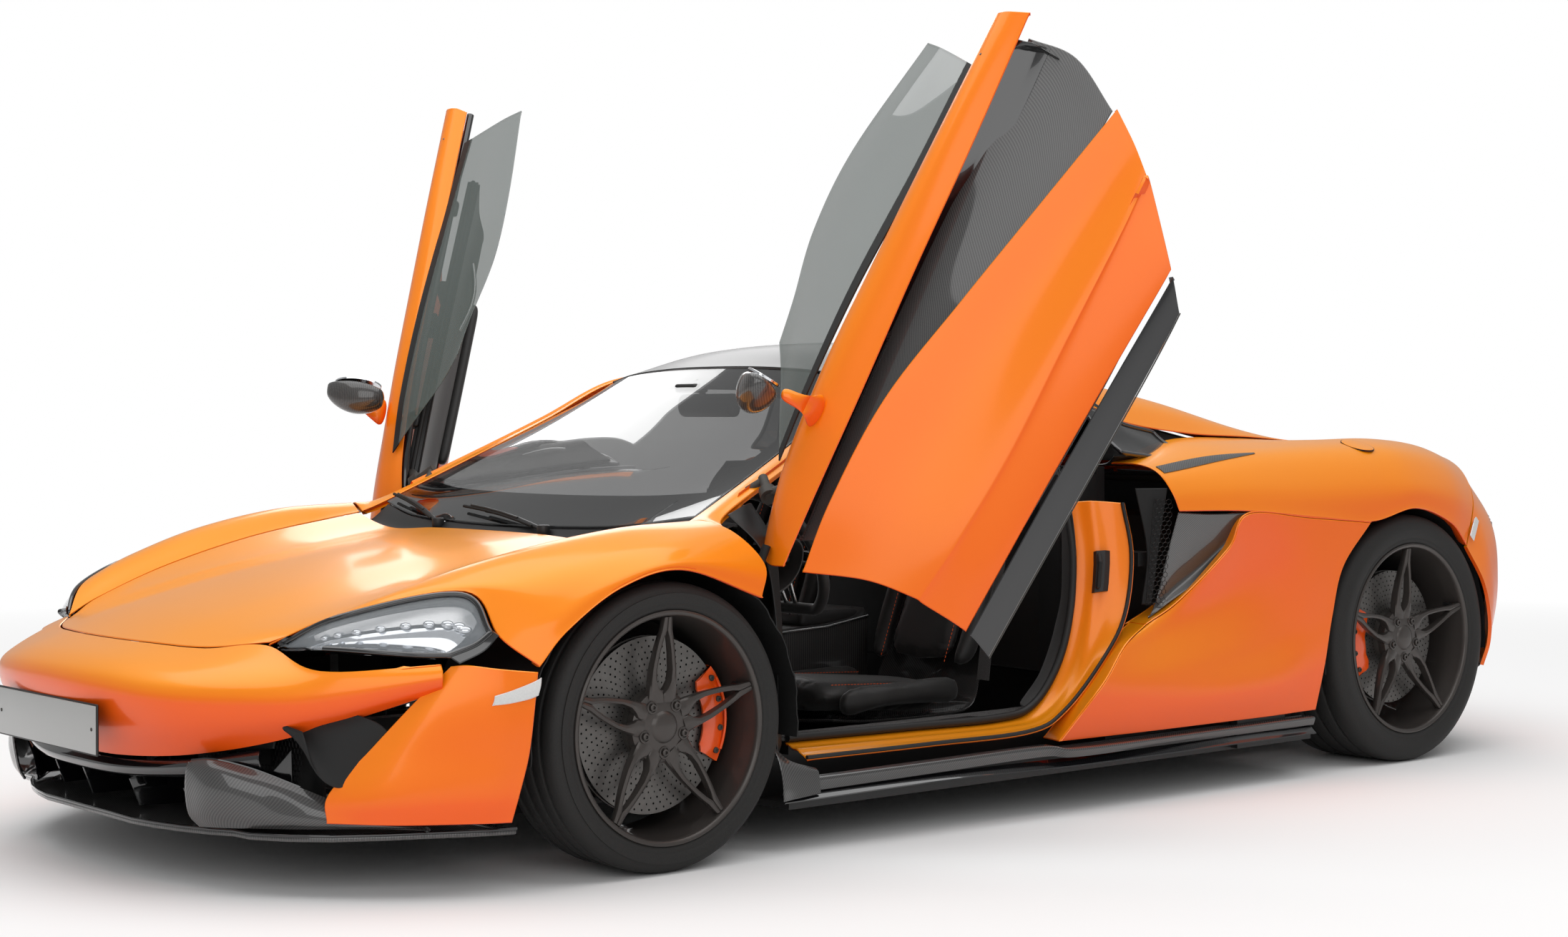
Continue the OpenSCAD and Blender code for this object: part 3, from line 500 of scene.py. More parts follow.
# %% Front panels
FIXED, SHUT = 0.0015, 0.003
lid_rows = [
    [(0, -2128, 513), (190, -2112, 512), (368, -2062, 510), (490, -1974, 523)],
    [(0, -1950, 572), (200, -1945, 568), (390, -1925, 556), (548, -1880, 560)],
    [(0, -1700, 634), (210, -1700, 628), (420, -1692, 612), (600, -1670, 628)],
    [(0, -1400, 690), (220, -1400, 682), (440, -1398, 664), (652, -1390, 692)],
    [(0, -1105, 718), (240, -1100, 716), (480, -1082, 708), (690, -1062, 740)]]
fender_rows = [
    [(500, -1985, 520), (640, -1880, 590), (795, -1680, 634), (885, -1650, 540), (948, -1590, 478)],
    [(548, -1880, 560), (692, -1750, 640), (850, -1590, 650), (925, -1540, 590), (950, -1516, 552)],
    [(600, -1670, 628), (735, -1530, 706), (868, -1445, 692), (937, -1400, 655), (953, -1375, 636)],
    [(652, -1390, 692), (768, -1270, 752), (882, -1240, 726), (944, -1215, 690), (955, -1210, 665)],
    [(700, -1050, 742), (778, -1030, 764), (872, -1000, 738), (932, -960, 665), (950, -985, 592)]]
nose_rows = [
    [(0, -2128, 513), (0, -2225, 480), (0, -2265, 440), (0, -2245, 360), (0, -2190, 268)],
    [(190, -2112, 512), (205, -2212, 475), (212, -2250, 435), (212, -2232, 358), (208, -2180, 270)],
    [(370, -2062, 509), (400, -2160, 463), (415, -2195, 425), (415, -2180, 360), (405, -2130, 285)],
    [(500, -1985, 520), (560, -2062, 466), (580, -2090, 425), (580, -2080, 372), (565, -2040, 315)],
    [(690, -1965, 478), (715, -1960, 455), (725, -1960, 425), (720, -1955, 392), (700, -1935, 360)],
    [(850, -1770, 492), (865, -1775, 478), (870, -1778, 462), (865, -1775, 446), (850, -1765, 432)]]
cheek_rows = [
    [(856, -1752, 486), (812, -1822, 405), (766, -1890, 318), (712, -1962, 222), (712, -1966, 160)],
    [(882, -1728, 489), (862, -1784, 400), (840, -1830, 305), (824, -1866, 215), (820, -1862, 158)],
    [(922, -1672, 480), (925, -1690, 398), (925, -1702, 300), (922, -1716, 215), (912, -1716, 157)],
    [(948, -1592, 470), (955, -1605, 400), (955, -1620, 300), (950, -1642, 215), (940, -1655, 157)]]
skin("luggage_lid", trimmed(surface(both_sides(lid_rows), 48, 60), SHUT), ORANGE, "luggage_lid",
     "orange_paint", stands_for=["bonnet"])
skins("front_fender", trimmed(surface(fender_rows, 56, 40), FIXED), ORANGE, stands_for=["front_fenders"])
skin("nose", trimmed(surface(both_ends(nose_rows), 100, 28), FIXED), ORANGE, "body", "orange_paint",
     stands_for=["front_bumper"])
skins("cheek", trimmed(surface(cheek_rows, 24, 32), FIXED), ORANGE)

# %% [markdown]
# ## Turned, bent and cut shapes
# Wheels are turned on a lathe, pipes and seals are bent, brackets are sawn from plate. Each has its own
# helper: a profile turned about an axle, a curve with a round section, and an outline with a thickness.
# A piece of the left side is then copied through the car's middle to make its twin.

# %% Lathe, pipe, plate and block
def closed_up(piece, distance=0.00005):
    """Joins doubled points and turns every face outward."""
    only(piece)
    bpy.ops.object.mode_set(mode="EDIT")
    bpy.ops.mesh.select_all(action="SELECT")
    bpy.ops.mesh.remove_doubles(threshold=distance)
    bpy.ops.mesh.normals_make_consistent(inside=False)
    bpy.ops.object.mode_set(mode="OBJECT")
    return piece


def turned(name, profile, material, centre, steps=96):
    """A profile of (radius, outward) points in mm, turned about a left wheel's axle."""
    grid = [[centre + Vector((x, r * math.cos(k * math.tau / steps), r * math.sin(k * math.tau / steps))) * MM
             for r, x in profile] for k in range(steps)]
    return closed_up(grid_mesh(name, grid, material, loop=True), 0.00001)


def pipe(name, points, radius, material, sides=5, cyclic=False):
    """A round bar along points in metres."""
    curve = bpy.data.curves.new(name, "CURVE")
    curve.dimensions, curve.bevel_depth, curve.bevel_resolution, curve.use_fill_caps = "3D", radius, sides, True
    line = curve.splines.new("POLY")
    line.points.add(len(points) - 1)
    for spot, p in zip(line.points, points):
        spot.co = (*p, 1)
    line.use_cyclic_u = cyclic
    bar = bpy.data.objects.new(name, curve)
    bpy.context.scene.collection.objects.link(bar)
    only(bar)
    bpy.ops.object.convert(target="MESH")
    bar.data.materials.clear()
    bar.data.materials.append(material)
    return bar


def plate(name, outline, thick, material, bevel=0.0, segments=2):
    """An outline of points in metres, thickened to both sides, with its edges eased."""
    mesh = bpy.data.meshes.new(name)
    mesh.from_pydata(outline, [], [tuple(range(len(outline)))])
    mesh.materials.append(material)
    piece = bpy.data.objects.new(name, mesh)
    bpy.context.scene.collection.objects.link(piece)
    apply_modifier(piece, "SOLIDIFY", thickness=thick, offset=0.0)
    if bevel:
        apply_modifier(piece, "BEVEL", width=bevel, segments=segments, limit_method="ANGLE")
    return piece


def block(name, low, high, material, bevel=3.0, segments=3):
    """A block between two corners in mm, with rounded edges."""
    size = Vector(high) - Vector(low)
    bpy.ops.mesh.primitive_cube_add(size=1, location=(0, 0, 0))
    piece = bpy.context.object
    piece.name = piece.data.name = name
    piece.data.transform(Matrix.Translation((Vector(high) + Vector(low)) * MM / 2) @ Matrix.Diagonal((*size * MM, 1)))
    apply_modifier(piece, "BEVEL", width=bevel * MM, segments=segments)
    piece.data.materials.append(material)
    return piece


def joined(name, pieces):
    """Several meshes as one piece."""
    bpy.ops.object.select_all(action="DESELECT")
    for piece in pieces:
        piece.select_set(True)
    bpy.context.view_layer.objects.active = pieces[0]
    if len(pieces) > 1:
        bpy.ops.object.join()
    pieces[0].name = pieces[0].data.name = name
    return pieces[0]


def pair_up(piece, body="body", stands_for=(), angle=35):
    """Settles a left piece and its mirror image on the right."""
    twin = piece.copy()
    twin.data = piece.data.copy()
    twin.name = twin.data.name = piece.name.replace("left", "right")
    bpy.context.scene.collection.objects.link(twin)
    twin.data.transform(Matrix.Scale(-1, 4, (1, 0, 0)))
    twin.data.flip_normals()
    for side, made in (("left", piece), ("right", twin)):
        settle(made, body.format(side), [n.format(side) for n in stands_for], angle)


def swept(sections, name, material):
    """A bar through a row of closed sections, with its two ends filled."""
    bar = grid_mesh(name, [list(s) + [s[0]] for s in sections], material)
    only(bar)
    bpy.ops.object.mode_set(mode="EDIT")
    bpy.ops.mesh.select_all(action="SELECT")
    bpy.ops.mesh.remove_doubles(threshold=0.00005)
    bpy.ops.mesh.select_all(action="DESELECT")
    bpy.ops.mesh.select_non_manifold()
    bpy.ops.mesh.edge_face_add()
    bpy.ops.mesh.select_all(action="SELECT")
    bpy.ops.mesh.normals_make_consistent(inside=False)
    bpy.ops.object.mode_set(mode="OBJECT")
    return bar


print("shape helpers ready")

# %% [markdown]
# ## Wheels
# Each wheel is a forged alloy one: five leaves, each split by a slot, run from the hub to a thin rim. The
# tyre is turned with four grooves, and its cross cuts are bump on the map that the lathe leaves, where
# one direction is the way round and the other is the way across.

# %% Tyre rubber and drilled iron
def tyre_rubber(width):
    rubber = Finish(f"tyre_rubber_{width}", Specular_IOR_Level=0.3)
    around, across, _ = rubber.axes("UV")
    slant = (around + (across - 0.5 * MM).maths("PINGPONG", across, 0.06) * 0.8) / 0.031
    cut = (slant % 1.0) < 0.13
    fine = rubber.noise(260, 4.0)
    rubber.feed("Base_Color", rubber.mix(fine, (0.012, 0.0115, 0.011, 1), (0.028, 0.027, 0.026, 1)))
    rubber.feed("Roughness", fine * 0.15 + 0.58)
    middle = (across - (0.36 if width > 250 else 0.30) / 2)
    tread = middle.maths("ABSOLUTE", middle) < (width * MM / 2 - 0.004)
    return rubber.bump(cut * tread * -1.0 + fine * 0.08, 1.0, 0.004).material


def drilled_iron():
    iron = Finish("drilled_iron", Metallic=0.85)
    around, out, _ = iron.axes("UV")
    row = (out / 0.013).maths("FLOOR", out / 0.013)
    a = ((around / 0.021 + row * 0.37) % 1.0 - 0.5) * 0.021
    b = ((out / 0.013) % 1.0 - 0.5) * 0.013
    far = a * a + b * b
    hole = far < 0.0000058
    grey = iron.noise(60, 3.0)
    # Painted shade: the drilled holes are painted near black for their depth, while the bump sinks them.
    iron.feed("Base_Color", iron.mix(hole, iron.mix(grey, (0.12, 0.115, 0.11, 1), (0.20, 0.19, 0.18, 1)),
                                     (0.004, 0.004, 0.004, 1)))
    iron.feed("Roughness", hole * 0.4 + grey * 0.1 + 0.38)
    return iron.bump(1.0 - hole, 0.6, 0.002).material


RUBBER = {"front": tyre_rubber(225), "rear": tyre_rubber(285)}
DISC = drilled_iron()


# %% Tyres
def tyre_profile(r, rim, width):
    h, mid = width / 2, (r + rim) / 2
    side = [(rim, 14), (rim + 6, 7), (rim + 13, 4), (rim + 17, 5), (rim + 20, 3), (mid - 4, 0.5), (mid + 8, 0),
            (r - 24, 4), (r - 15, 8), (r - 8, 14), (r - 3, 23), (r - 0.8, 34)]
    grooves = []
    for g in (-0.27, -0.09, 0.09, 0.27):
        c = g * width
        grooves += [(r, c - 6), (r - 1, c - 4.6), (r - 7, c - 3.4), (r - 7, c + 3.4), (r - 1, c + 4.6),
                    (r, c + 6)]
    return ([(p, q - h) for p, q in side] + grooves + [(p, h - q) for p, q in reversed(side)])


def spoke_edges(r):
    """Half widths of one leaf, outside and at its slot, so far from the axle."""
    def pick(table):
        for (a, p), (b, q) in zip(table, table[1:]):
            if r <= b:
                f = max(0.0, (r - a) / (b - a))
                return p + (q - p) * f
        return table[-1][1]
    outer = pick([(50, 36), (62, 38), (90, 36), (130, 33), (180, 24), (215, 15), (245, 11), (270, 12)])
    slot = pick([(50, 0), (74, 0), (80, 8), (98, 19), (125, 21), (165, 15), (200, 6), (212, 0), (270, 0)])
    return outer, slot


def leaf(name, rim, h, angle, centre):
    """The two halves of one split spoke."""
    halves = []
    for s in (-1, 1):
        sections = []
        stations = [54, 62, 70, 76, 82, 90, 100, 112, 126, 142, 158, 172, 186, 198, 207, 214, 224, 236,
                    rim - 13]
        for r in stations:
            grow = 1 if r < 200 else 1 + (rim - 256) / 256 * 0.2
            outer, slot = spoke_edges(r if r < 200 else 200 + (r - 200) * 45 / (rim - 213))
            f = (r - 54) / (rim - 67)
            face, back = h - 31 + 19 * f ** 1.6, h - 62 + 30 * f ** 1.3
            wide = max(outer - slot, 1.0) * grow
            low = slot + wide * 0.06
            ring = [(slot, back + 3), (slot, face - 5), (low, face - 2.5), (slot + wide * 0.42, face),
                    (outer - wide * 0.12, face - 3), (outer, face - 7), (outer - 1, back + 6),
                    (outer - wide * 0.3, back)]
            sections.append([centre + Vector((x, r * math.cos(angle) - s * t * math.sin(angle),
                                              r * math.sin(angle) + s * t * math.cos(angle))) * MM
                             for t, x in ring])
        halves.append(swept(sections, name + "_half", RIM_GREY))
    return halves


def wheel(end, centre, r, rim, width, disc):
    h = width / 2
    hub = f"{end}_{{}}_wheel"
    pair_up(turned(f"{end}_left_tyre_rubber", tyre_profile(r, rim, width), RUBBER[end], centre, 120), hub,
            [f"{end}_{{}}_tyre"], 50)
    barrel = [(rim + 1, -h + 13), (rim + 3, -h + 8), (rim, -h + 5), (rim - 6, -h + 5), (rim - 12, -h + 14),
              (rim - 22, -h + 34), (rim - 24, h - 90), (rim - 16, h - 40), (rim - 11, h - 20),
              (rim - 10, h - 10),
              (rim - 7, h - 6), (rim - 2, h - 4), (rim + 2, h - 6), (rim + 3, h - 10), (rim + 1, h - 14)]
    middle = [(30.3, h - 66), (80, h - 66), (82, h - 60), (80, h - 44), (70, h - 37), (60, h - 34),
              (36, h - 33),
              (33, h - 30), (31, h - 28), (24, h - 25.5), (12, h - 24), (0.01, h - 23.5)]
    parts = [turned("rim_barrel", barrel, RIM_GREY, centre, 120),
             turned("rim_middle", middle, RIM_GREY, centre, 64)]
    for k in range(5):
        parts += leaf("leaf", rim, h, math.radians(90 + 72 * k), centre)
        a = math.radians(54 + 72 * k)
        spot = centre + Vector((0, 56 * math.cos(a), 56 * math.sin(a))) * MM
        parts.append(turned("boss", [(13, h - 40), (15, h - 34), (14, h - 31.5), (11, h - 31), (10.5, h - 33.5),
                                     (8.2, h - 33.5), (8, h - 27), (6.5, h - 25.5), (4, h - 25.6),
                                     (3.8, h - 29),
                                     (0.01, h - 29)], RIM_GREY, spot, 24))
    stem = centre + Vector((0, math.cos(0.35) * (rim - 26), math.sin(0.35) * (rim - 26))) * MM
    parts.append(turned("valve", [(4.5, h - 60), (4.5, h - 40), (4, h - 36), (0.01, h - 35)], SATIN_BLACK,
                        stem, 16))
    pair_up(joined(f"{end}_left_rim_forged", parts), hub, [f"{end}_{{}}_rim"], 32)
    ring = [(80, h - 113), (disc, h - 113), (disc, h - 103), (disc - 4, h - 102), (disc - 4, h - 94),
            (disc, h - 93),
            (disc, h - 83), (80, h - 83)]
    bell = [(30.3, h - 113), (80, h - 113), (80, h - 76), (76, h - 69), (60, h - 68), (30.3, h - 68)]
    pair_up(joined(f"{end}_left_disc", [turned("iron", ring, DISC, centre, 96),
                                        turned("bell", bell, CAST_GREY, centre, 64)]),
            hub)


wheel("front", FRONT, 320, 256, 225, 197)
wheel("rear", REAR, 354, 269, 285, 190)

# %% [markdown]
# ## Brakes and front uprights
# A caliper straddles its disc over a sixth of a turn. Its section is swept round the axle, thicker where
# the pistons sit, and bolts and a bridge pipe finish it. The upright carries it with the spindle.

# %% Calipers
def caliper(name, centre, r, width, start):
    z = width / 2 - 114
    sections = []
    for k in range(33):
        a = math.radians(start + k * 2)
        swell = 5 * max(0.0, math.sin(math.radians(k * 2 * 360 / 21.3))) if 2 < k < 30 else 0
        taper = min(1.0, (k + 1) / 4, (33 - k) / 4)
        low, top = r - 58 + 12 * (1 - taper), r + 16 - 10 * (1 - taper)
        ring = [(low, 44 - swell * 0.4), (low + 6, 46), (r - 30, 46), (r - 16, 44 - 8 * (1 - taper)),
                (r + 6, 38), (top, 28),
                (top, -14), (r + 4, -24), (low, -24), (low, -6), (r + 7, -6), (r + 7, 38), (low + 1, 37.4)]
        sections.append([centre + Vector((z + x, q * math.cos(a), q * math.sin(a))) * MM for q, x in ring])
    parts = [swept(sections, name, CALIPER)]
    for k in (6, 22, 42, 58):
        a = math.radians(start + k)
        spot = centre + Vector((0, (r - 10) * math.cos(a), (r - 10) * math.sin(a))) * MM
        parts.append(turned("bolt", [(7, z + 40), (7, z + 46.5), (5.5, z + 48), (3, z + 48), (2.8, z + 46),
                                     (0.01, z + 46)],
                            CAST_GREY, spot, 12))
    crossing = []
    for k in range(13):
        a = math.radians(start + 8 + 4 * k)
        crossing.append(centre + Vector((z + 41 + 4 * math.sin(k * 0.26), (r + 4) * math.cos(a),
                                         (r + 4) * math.sin(a))) * MM)
    parts.append(pipe("bridge", crossing, 0.0032, CALIPER, 3))
    return joined(name, parts)


pair_up(caliper("front_left_caliper", FRONT, 197, 225, -28), "front_{}_hub",
        ["front_{}_knuckle"])
pair_up(caliper("rear_left_caliper", REAR, 190, 285, 150), "body", ["rear_calipers"])
upright = turned("upright", [(29.8, 40), (29.8, -32), (58, -33), (60, -36), (60, -58), (52, -62), (0.01, -62)],
                 CAST_GREY,
                 FRONT, 48)
kingpin = pipe("kingpin", [FRONT + Vector((-36, 0, z)) * MM for z in (-127.6, 125.6)], 0.020, CAST_GREY, 6)
carrier = block("carrier", (831 - 50, -1235 + 50, 320 - 25), (831 - 24, -1235 + 160, 320 + 25), CAST_GREY, 6)
pair_up(joined("front_left_upright", [upright, kingpin, carrier]), "front_{}_hub")

# %% [markdown]
# ## The mouth, the plate and the front wing
# Under the nose a black mouth runs the full width. Ducts sit behind it with a fine mesh, a blade of carbon
# forms its floor, and the ends of that blade rise into pointed winglets. The plate stays blank.

# %% A mesh grille
def honeycomb(name, at, wide, high, cell, bar, material):
    """A sheet with hexagonal holes: a grid of hexagons with their faces shrunk away by Wireframe."""
    mesh = bpy.data.meshes.new(name)
    points, faces, seen = [], [], {}
    for row in range(int(high / (cell * 0.866)) + 1):
        for col in range(int(wide / cell) + 1):
            cx, cy = (col + 0.5 * (row % 2)) * cell, row * cell * 0.866
            ring = []
            for k in range(6):
                x = cx + cell * 0.57735 * math.sin(k * math.pi / 3)
                y = cy + cell * 0.57735 * math.cos(k * math.pi / 3)
                key = (round(x, 5), round(y, 5))
                if key not in seen:
                    seen[key] = len(points)
                    points.append(at(min(max(x / wide, 0), 1), min(max(y / high, 0), 1)))
                ring.append(seen[key])
            faces.append(ring)
    mesh.from_pydata(points, [], faces)
    mesh.materials.append(material)
    piece = bpy.data.objects.new(name, mesh)
    bpy.context.scene.collection.objects.link(piece)
    closed_up(piece, 0.0001)
    apply_modifier(piece, "WIREFRAME", thickness=bar, use_even_offset=False)
    return piece

# %% Mouth and ducts
def duct_mesh(u, v):
    return Vector((0.05 + 0.58 * u, -1.955 + 0.03 * u, 0.145 + 0.24 * v))


screen = honeycomb("left_mouth_mesh", duct_mesh, 0.58, 0.24, 0.014, 0.0022, SATIN_BLACK)
pair_up(screen, "body")
backing = [[Vector((x, -1930, z)) * MM for z in (405, 270, 135)] for x in (-640, -200, 200, 640)]
skin("mouth_back", backing, DEEP_BLACK, "body", "black_gloss", thick=0.006, lip=0, stands_for=["front_intake"])
floor_blade = surface(both_ends([
    [(0, -2182, 262), (0, -2192, 240), (0, -2170, 222), (0, -2080, 218)],
    [(210, -2172, 264), (212, -2182, 244), (212, -2160, 226), (210, -2070, 220)],
    [(405, -2122, 280), (410, -2132, 262), (408, -2112, 240), (400, -2030, 232)],
    [(560, -2035, 308), (570, -2045, 288), (566, -2030, 262), (550, -1980, 246)]]), 60, 12)
skin("mouth_bar", floor_blade, GLOSS_BLACK, "body", "black_gloss", thick=0.004)
lip = surface(both_ends([
    [(0, -2120, 262), (0, -2100, 322), (0, -2040, 345), (0, -1960, 350)],
    [(300, -2085, 275), (300, -2070, 328), (300, -2020, 350), (300, -1960, 352)],
    [(560, -2000, 305), (560, -1990, 340), (560, -1970, 352), (560, -1950, 352)]]), 40, 10)
skin("mouth_roof", lip, DEEP_BLACK, "body", "black_gloss", thick=0.004)
guides = []
for x, lean in ((120, 10), (330, 26), (520, 40)):
    outline = [Vector((x, -2100 + x * x / 3800, 142)), Vector((x, -2125 + x * x / 3800, 205)),
               Vector((x + lean * 0.3, -2080 + x * x / 3800, 236)), Vector((x + lean, -1960, 300)),
               Vector((x + lean, -1960, 140))]
    guides.append(plate("guide", [p * MM for p in outline], 0.006, GLOSS_BLACK, 0.0015))
pair_up(joined("left_mouth_guides", guides), "body")
corner = surface([
    [(545, -2052, 372), (612, -2030, 370), (672, -1996, 352)],
    [(590, -2010, 372), (665, -1985, 330), (708, -1978, 260)],
    [(640, -1968, 392), (716, -1952, 340), (744, -1925, 240)],
    [(700, -1936, 398), (772, -1882, 372), (790, -1842, 330)]], 24, 16)
skins("mouth_corner", corner, DEEP_BLACK, slot="black_gloss", thick=0.004)
cheek_strip = surface([
    [(690, -1938, 396), (690, -1932, 366)], [(780, -1852, 418), (782, -1848, 398)],
    [(846, -1768, 436), (848, -1764, 430)]], 20, 2)
skins("mouth_edge", cheek_strip, GLOSS_BLACK, slot="black_gloss", thick=0.006)

# %% The number plate
plate_low, plate_high = (-256, -2263.5, 284), (256, -2260.5, 388)
frame_piece = block("plate_frame", (-260, -2261.5, 280), (260, -2256, 392), SATIN_BLACK, 3)
settle(frame_piece, "body")
settle(block("plate_blank", plate_low, plate_high, PLATE_FACE, 4, 4), "body")
settle(joined("plate_screws", [pipe("screw", [(x * MM, -2.2635, 0.337), (x * MM, -2.2645, 0.337)], 0.004,
                                    CAST_GREY, 4)
                               for x in (-238, 238)]), "body")

# %% Front wing of carbon
blade = [Vector((x, y, 0)) for x, y in (
    (0, -2163), (120, -2162), (219, -2163), (300, -2150), (385, -2128), (460, -2100), (511, -2072),
    (570, -2066), (647, -2018),
    (712, -1952), (770, -1855), (812, -1765), (845, -1700), (870, -1640), (880, -1605), (860, -1600),
    (640, -1605), (0, -1605))]
ring = [Vector((-p.x, p.y, p.z)) for p in reversed(blade[1:-1])]
flat_blade = [Vector((p.x * MM, p.y * MM, 0.126)) for p in blade + ring]
under = plate("splitter_blade", flat_blade, 0.010, CARBON_BLOCK, 0.003)
settle(under, "body", ["splitter"])
edge = [Vector((p.x * 0.999 * MM, (p.y + 1.5) * MM, 0.1335)) for p in blade[:15]]
rim_line = [Vector((-p.x, p.y, p.z)) for p in reversed(edge[1:])] + edge
settle(pipe("splitter_edge", rim_line, 0.0035, GLOSS_BLACK, 4), "body")
winglet = surface([
    [(452, -2140, 284), (448, -2150, 270), (440, -2150, 225), (436, -2140, 168), (450, -2120, 138)],
    [(500, -2112, 288), (522, -2120, 262), (524, -2126, 216), (506, -2122, 170), (506, -2098, 140)],
    [(560, -2052, 268), (592, -2050, 236), (606, -2048, 200), (600, -2052, 166), (592, -2040, 142)],
    [(640, -1985, 232), (672, -1975, 204), (690, -1972, 182), (690, -1975, 160), (680, -1968, 144)],
    [(720, -1905, 190), (752, -1880, 172), (768, -1868, 160), (770, -1868, 152), (764, -1864, 145)],
    [(800, -1800, 152), (812, -1790, 148), (820, -1786, 145), (822, -1786, 143), (818, -1786, 141)]], 48, 24)
skins("winglet", winglet, CARBON, slot="carbon", thick=0.006, lip=0.003, angle=50)
winglet_back = surface([
    [(452, -2140, 284), (446, -2100, 200), (444, -2090, 136)],
    [(500, -2112, 288), (486, -2080, 200), (480, -2060, 136)],
    [(560, -2052, 268), (545, -2030, 190), (540, -2020, 136)],
    [(640, -1985, 232), (625, -1968, 180), (620, -1960, 136)]], 24, 8)
skins("winglet_back", winglet_back, GLOSS_BLACK, slot="black_gloss", thick=0.004)

# %% [markdown]
# ## Headlamps
# A clear lens covers a black bowl. Inside, a silver reflector tapers toward the nose, and a row of bright
# modules stands on a shelf over it. Gloss black frames the lens on the wheel side.

# %% Headlamps
lens_rows = [
    [(526, -1972, 518), (531, -1974, 514), (536, -1976, 510)],
    [(640, -1888, 584), (650, -1915, 552), (656, -1936, 516)],
    [(795, -1690, 630), (812, -1735, 572), (795, -1815, 506)],
    [(876, -1662, 550), (872, -1700, 525), (856, -1755, 506)]]
lens = trimmed(surface(lens_rows, 40, 20), SHUT)
skins("lamp_lens", lens, LAMP_GLASS, slot="lamp_lens", thick=0.003, stands_for=["headlamps"])


def bowl_depth(i, j):
    """How far the bowl lies under the lens: deepest in the middle."""
    return 0.006 + 0.050 * math.sin(math.pi * i / 40) ** 0.7 * math.sin(math.pi * j / 20) ** 0.6


bowl = [[p + inward(lens, i, j) * bowl_depth(i, j) for j, p in enumerate(row)] for i, row in enumerate(lens)]
skins("lamp_bowl", bowl, GLOSS_BLACK, slot="black_gloss", thick=0.002, lip=0, angle=60)


def lamp_at(i, j, depth):
    """A point so far under the lens, at row i and column j, which need not be whole."""
    a, b = min(int(i), 39), min(int(j), 19)
    f, g = i - a, j - b
    p = (lens[a][b] * (1 - f) * (1 - g) + lens[a + 1][b] * f * (1 - g)
         + lens[a][b + 1] * (1 - f) * g + lens[a + 1][b + 1] * f * g)
    return p + inward(lens, a, b) * depth


collar = [[lamp_at(i, j, d) for j, d in ((0.4, 0.004), (2.2, 0.005), (2.6, 0.014))] for i in range(1, 40)]
skins("lamp_brow", collar, SATIN_BLACK, slot="black_plastic", thick=0.002, lip=0)
reflector = [[lamp_at(6 + k * 0.75, j, d) for j,
              d in ((9.5, 0.030), (12, 0.034), (15, 0.030), (17.6, 0.018), (18.6, 0.008))]
             for k in range(37)]
skins("lamp_reflector", reflector, CHROME, slot="steel", thick=0.0015, lip=0, angle=60)
upper_bowl = [[lamp_at(8 + k * 0.7, j, d) for j,
               d in ((3.4, 0.016), (5.5, 0.026), (8.0, 0.032))] for k in range(38)]
skins("lamp_shade", upper_bowl, SILVER, slot="steel", thick=0.0015, lip=0, angle=60)
modules = []
for k in range(9):
    i = 11 + k * 2.55
    spot = lamp_at(i, 9.0, 0.020)
    ahead = -inward(lens, int(i), 9)
    size = 0.0075 + 0.0045 * k / 8
    bpy.ops.mesh.primitive_uv_sphere_add(segments=20, ring_count=10, radius=size)
    bead = bpy.context.object
    bead.data.transform(Matrix.Translation(spot) @ ahead.to_track_quat("Z",
        "Y").to_matrix().to_4x4() @ Matrix.Diagonal((1.25, 0.8, 0.55, 1)))
    bead.data.materials.append(CHROME)
    modules.append(bead)
pair_up(joined("left_lamp_modules", modules), "body", angle=60)
shelf = [[lamp_at(8 + k * 0.72, j, d) for j,
          d in ((8.2, 0.032), (8.8, 0.022), (9.4, 0.032))] for k in range(37)]
skins("lamp_shelf", shelf, GLOSS_BLACK, slot="black_gloss", thick=0.001, lip=0)
outline = [lens[i][0] for i in range(2, 41)] + [lens[40][j] for j in range(1,
    21)] + [lens[i][20] for i in range(39, 12, -1)]
brow = pipe("left_lamp_frame", [p + Vector((0.0015, 0, 0)) for p in outline], 0.0065, GLOSS_BLACK, 4)
pair_up(brow, "body", angle=60)
skins("lamp_corner", surface([
    [(876, -1660, 556), (874, -1700, 527), (858, -1757, 506)],
    [(888, -1652, 546), (890, -1690, 516), (880, -1745, 492)]], 4, 12), GLOSS_BLACK, slot="black_gloss",
    thick=0.003)
marker = surface([
    [(925, -1688, 424), (925, -1690, 414), (924, -1694, 404)],
    [(936, -1652, 434), (938, -1655, 420), (938, -1659, 407)],
    [(948, -1612, 448), (951, -1615, 430), (951, -1620, 414)],
    [(954, -1590, 458), (957, -1594, 440), (957, -1600, 421)]], 16, 8)
skins("side_marker", [[p + Vector((0.0025, -0.001, 0)) for p in row] for row in marker], MARKER,
      slot="lamp_lens", thick=0.003)

# %% [markdown]
# ## Windscreen, roof and pillars
# The windscreen is one deep sheet with a black printed border. The roof skin is dark lacquered carbon,
# and from the fender to the tail a slim orange pillar frames the door glass.

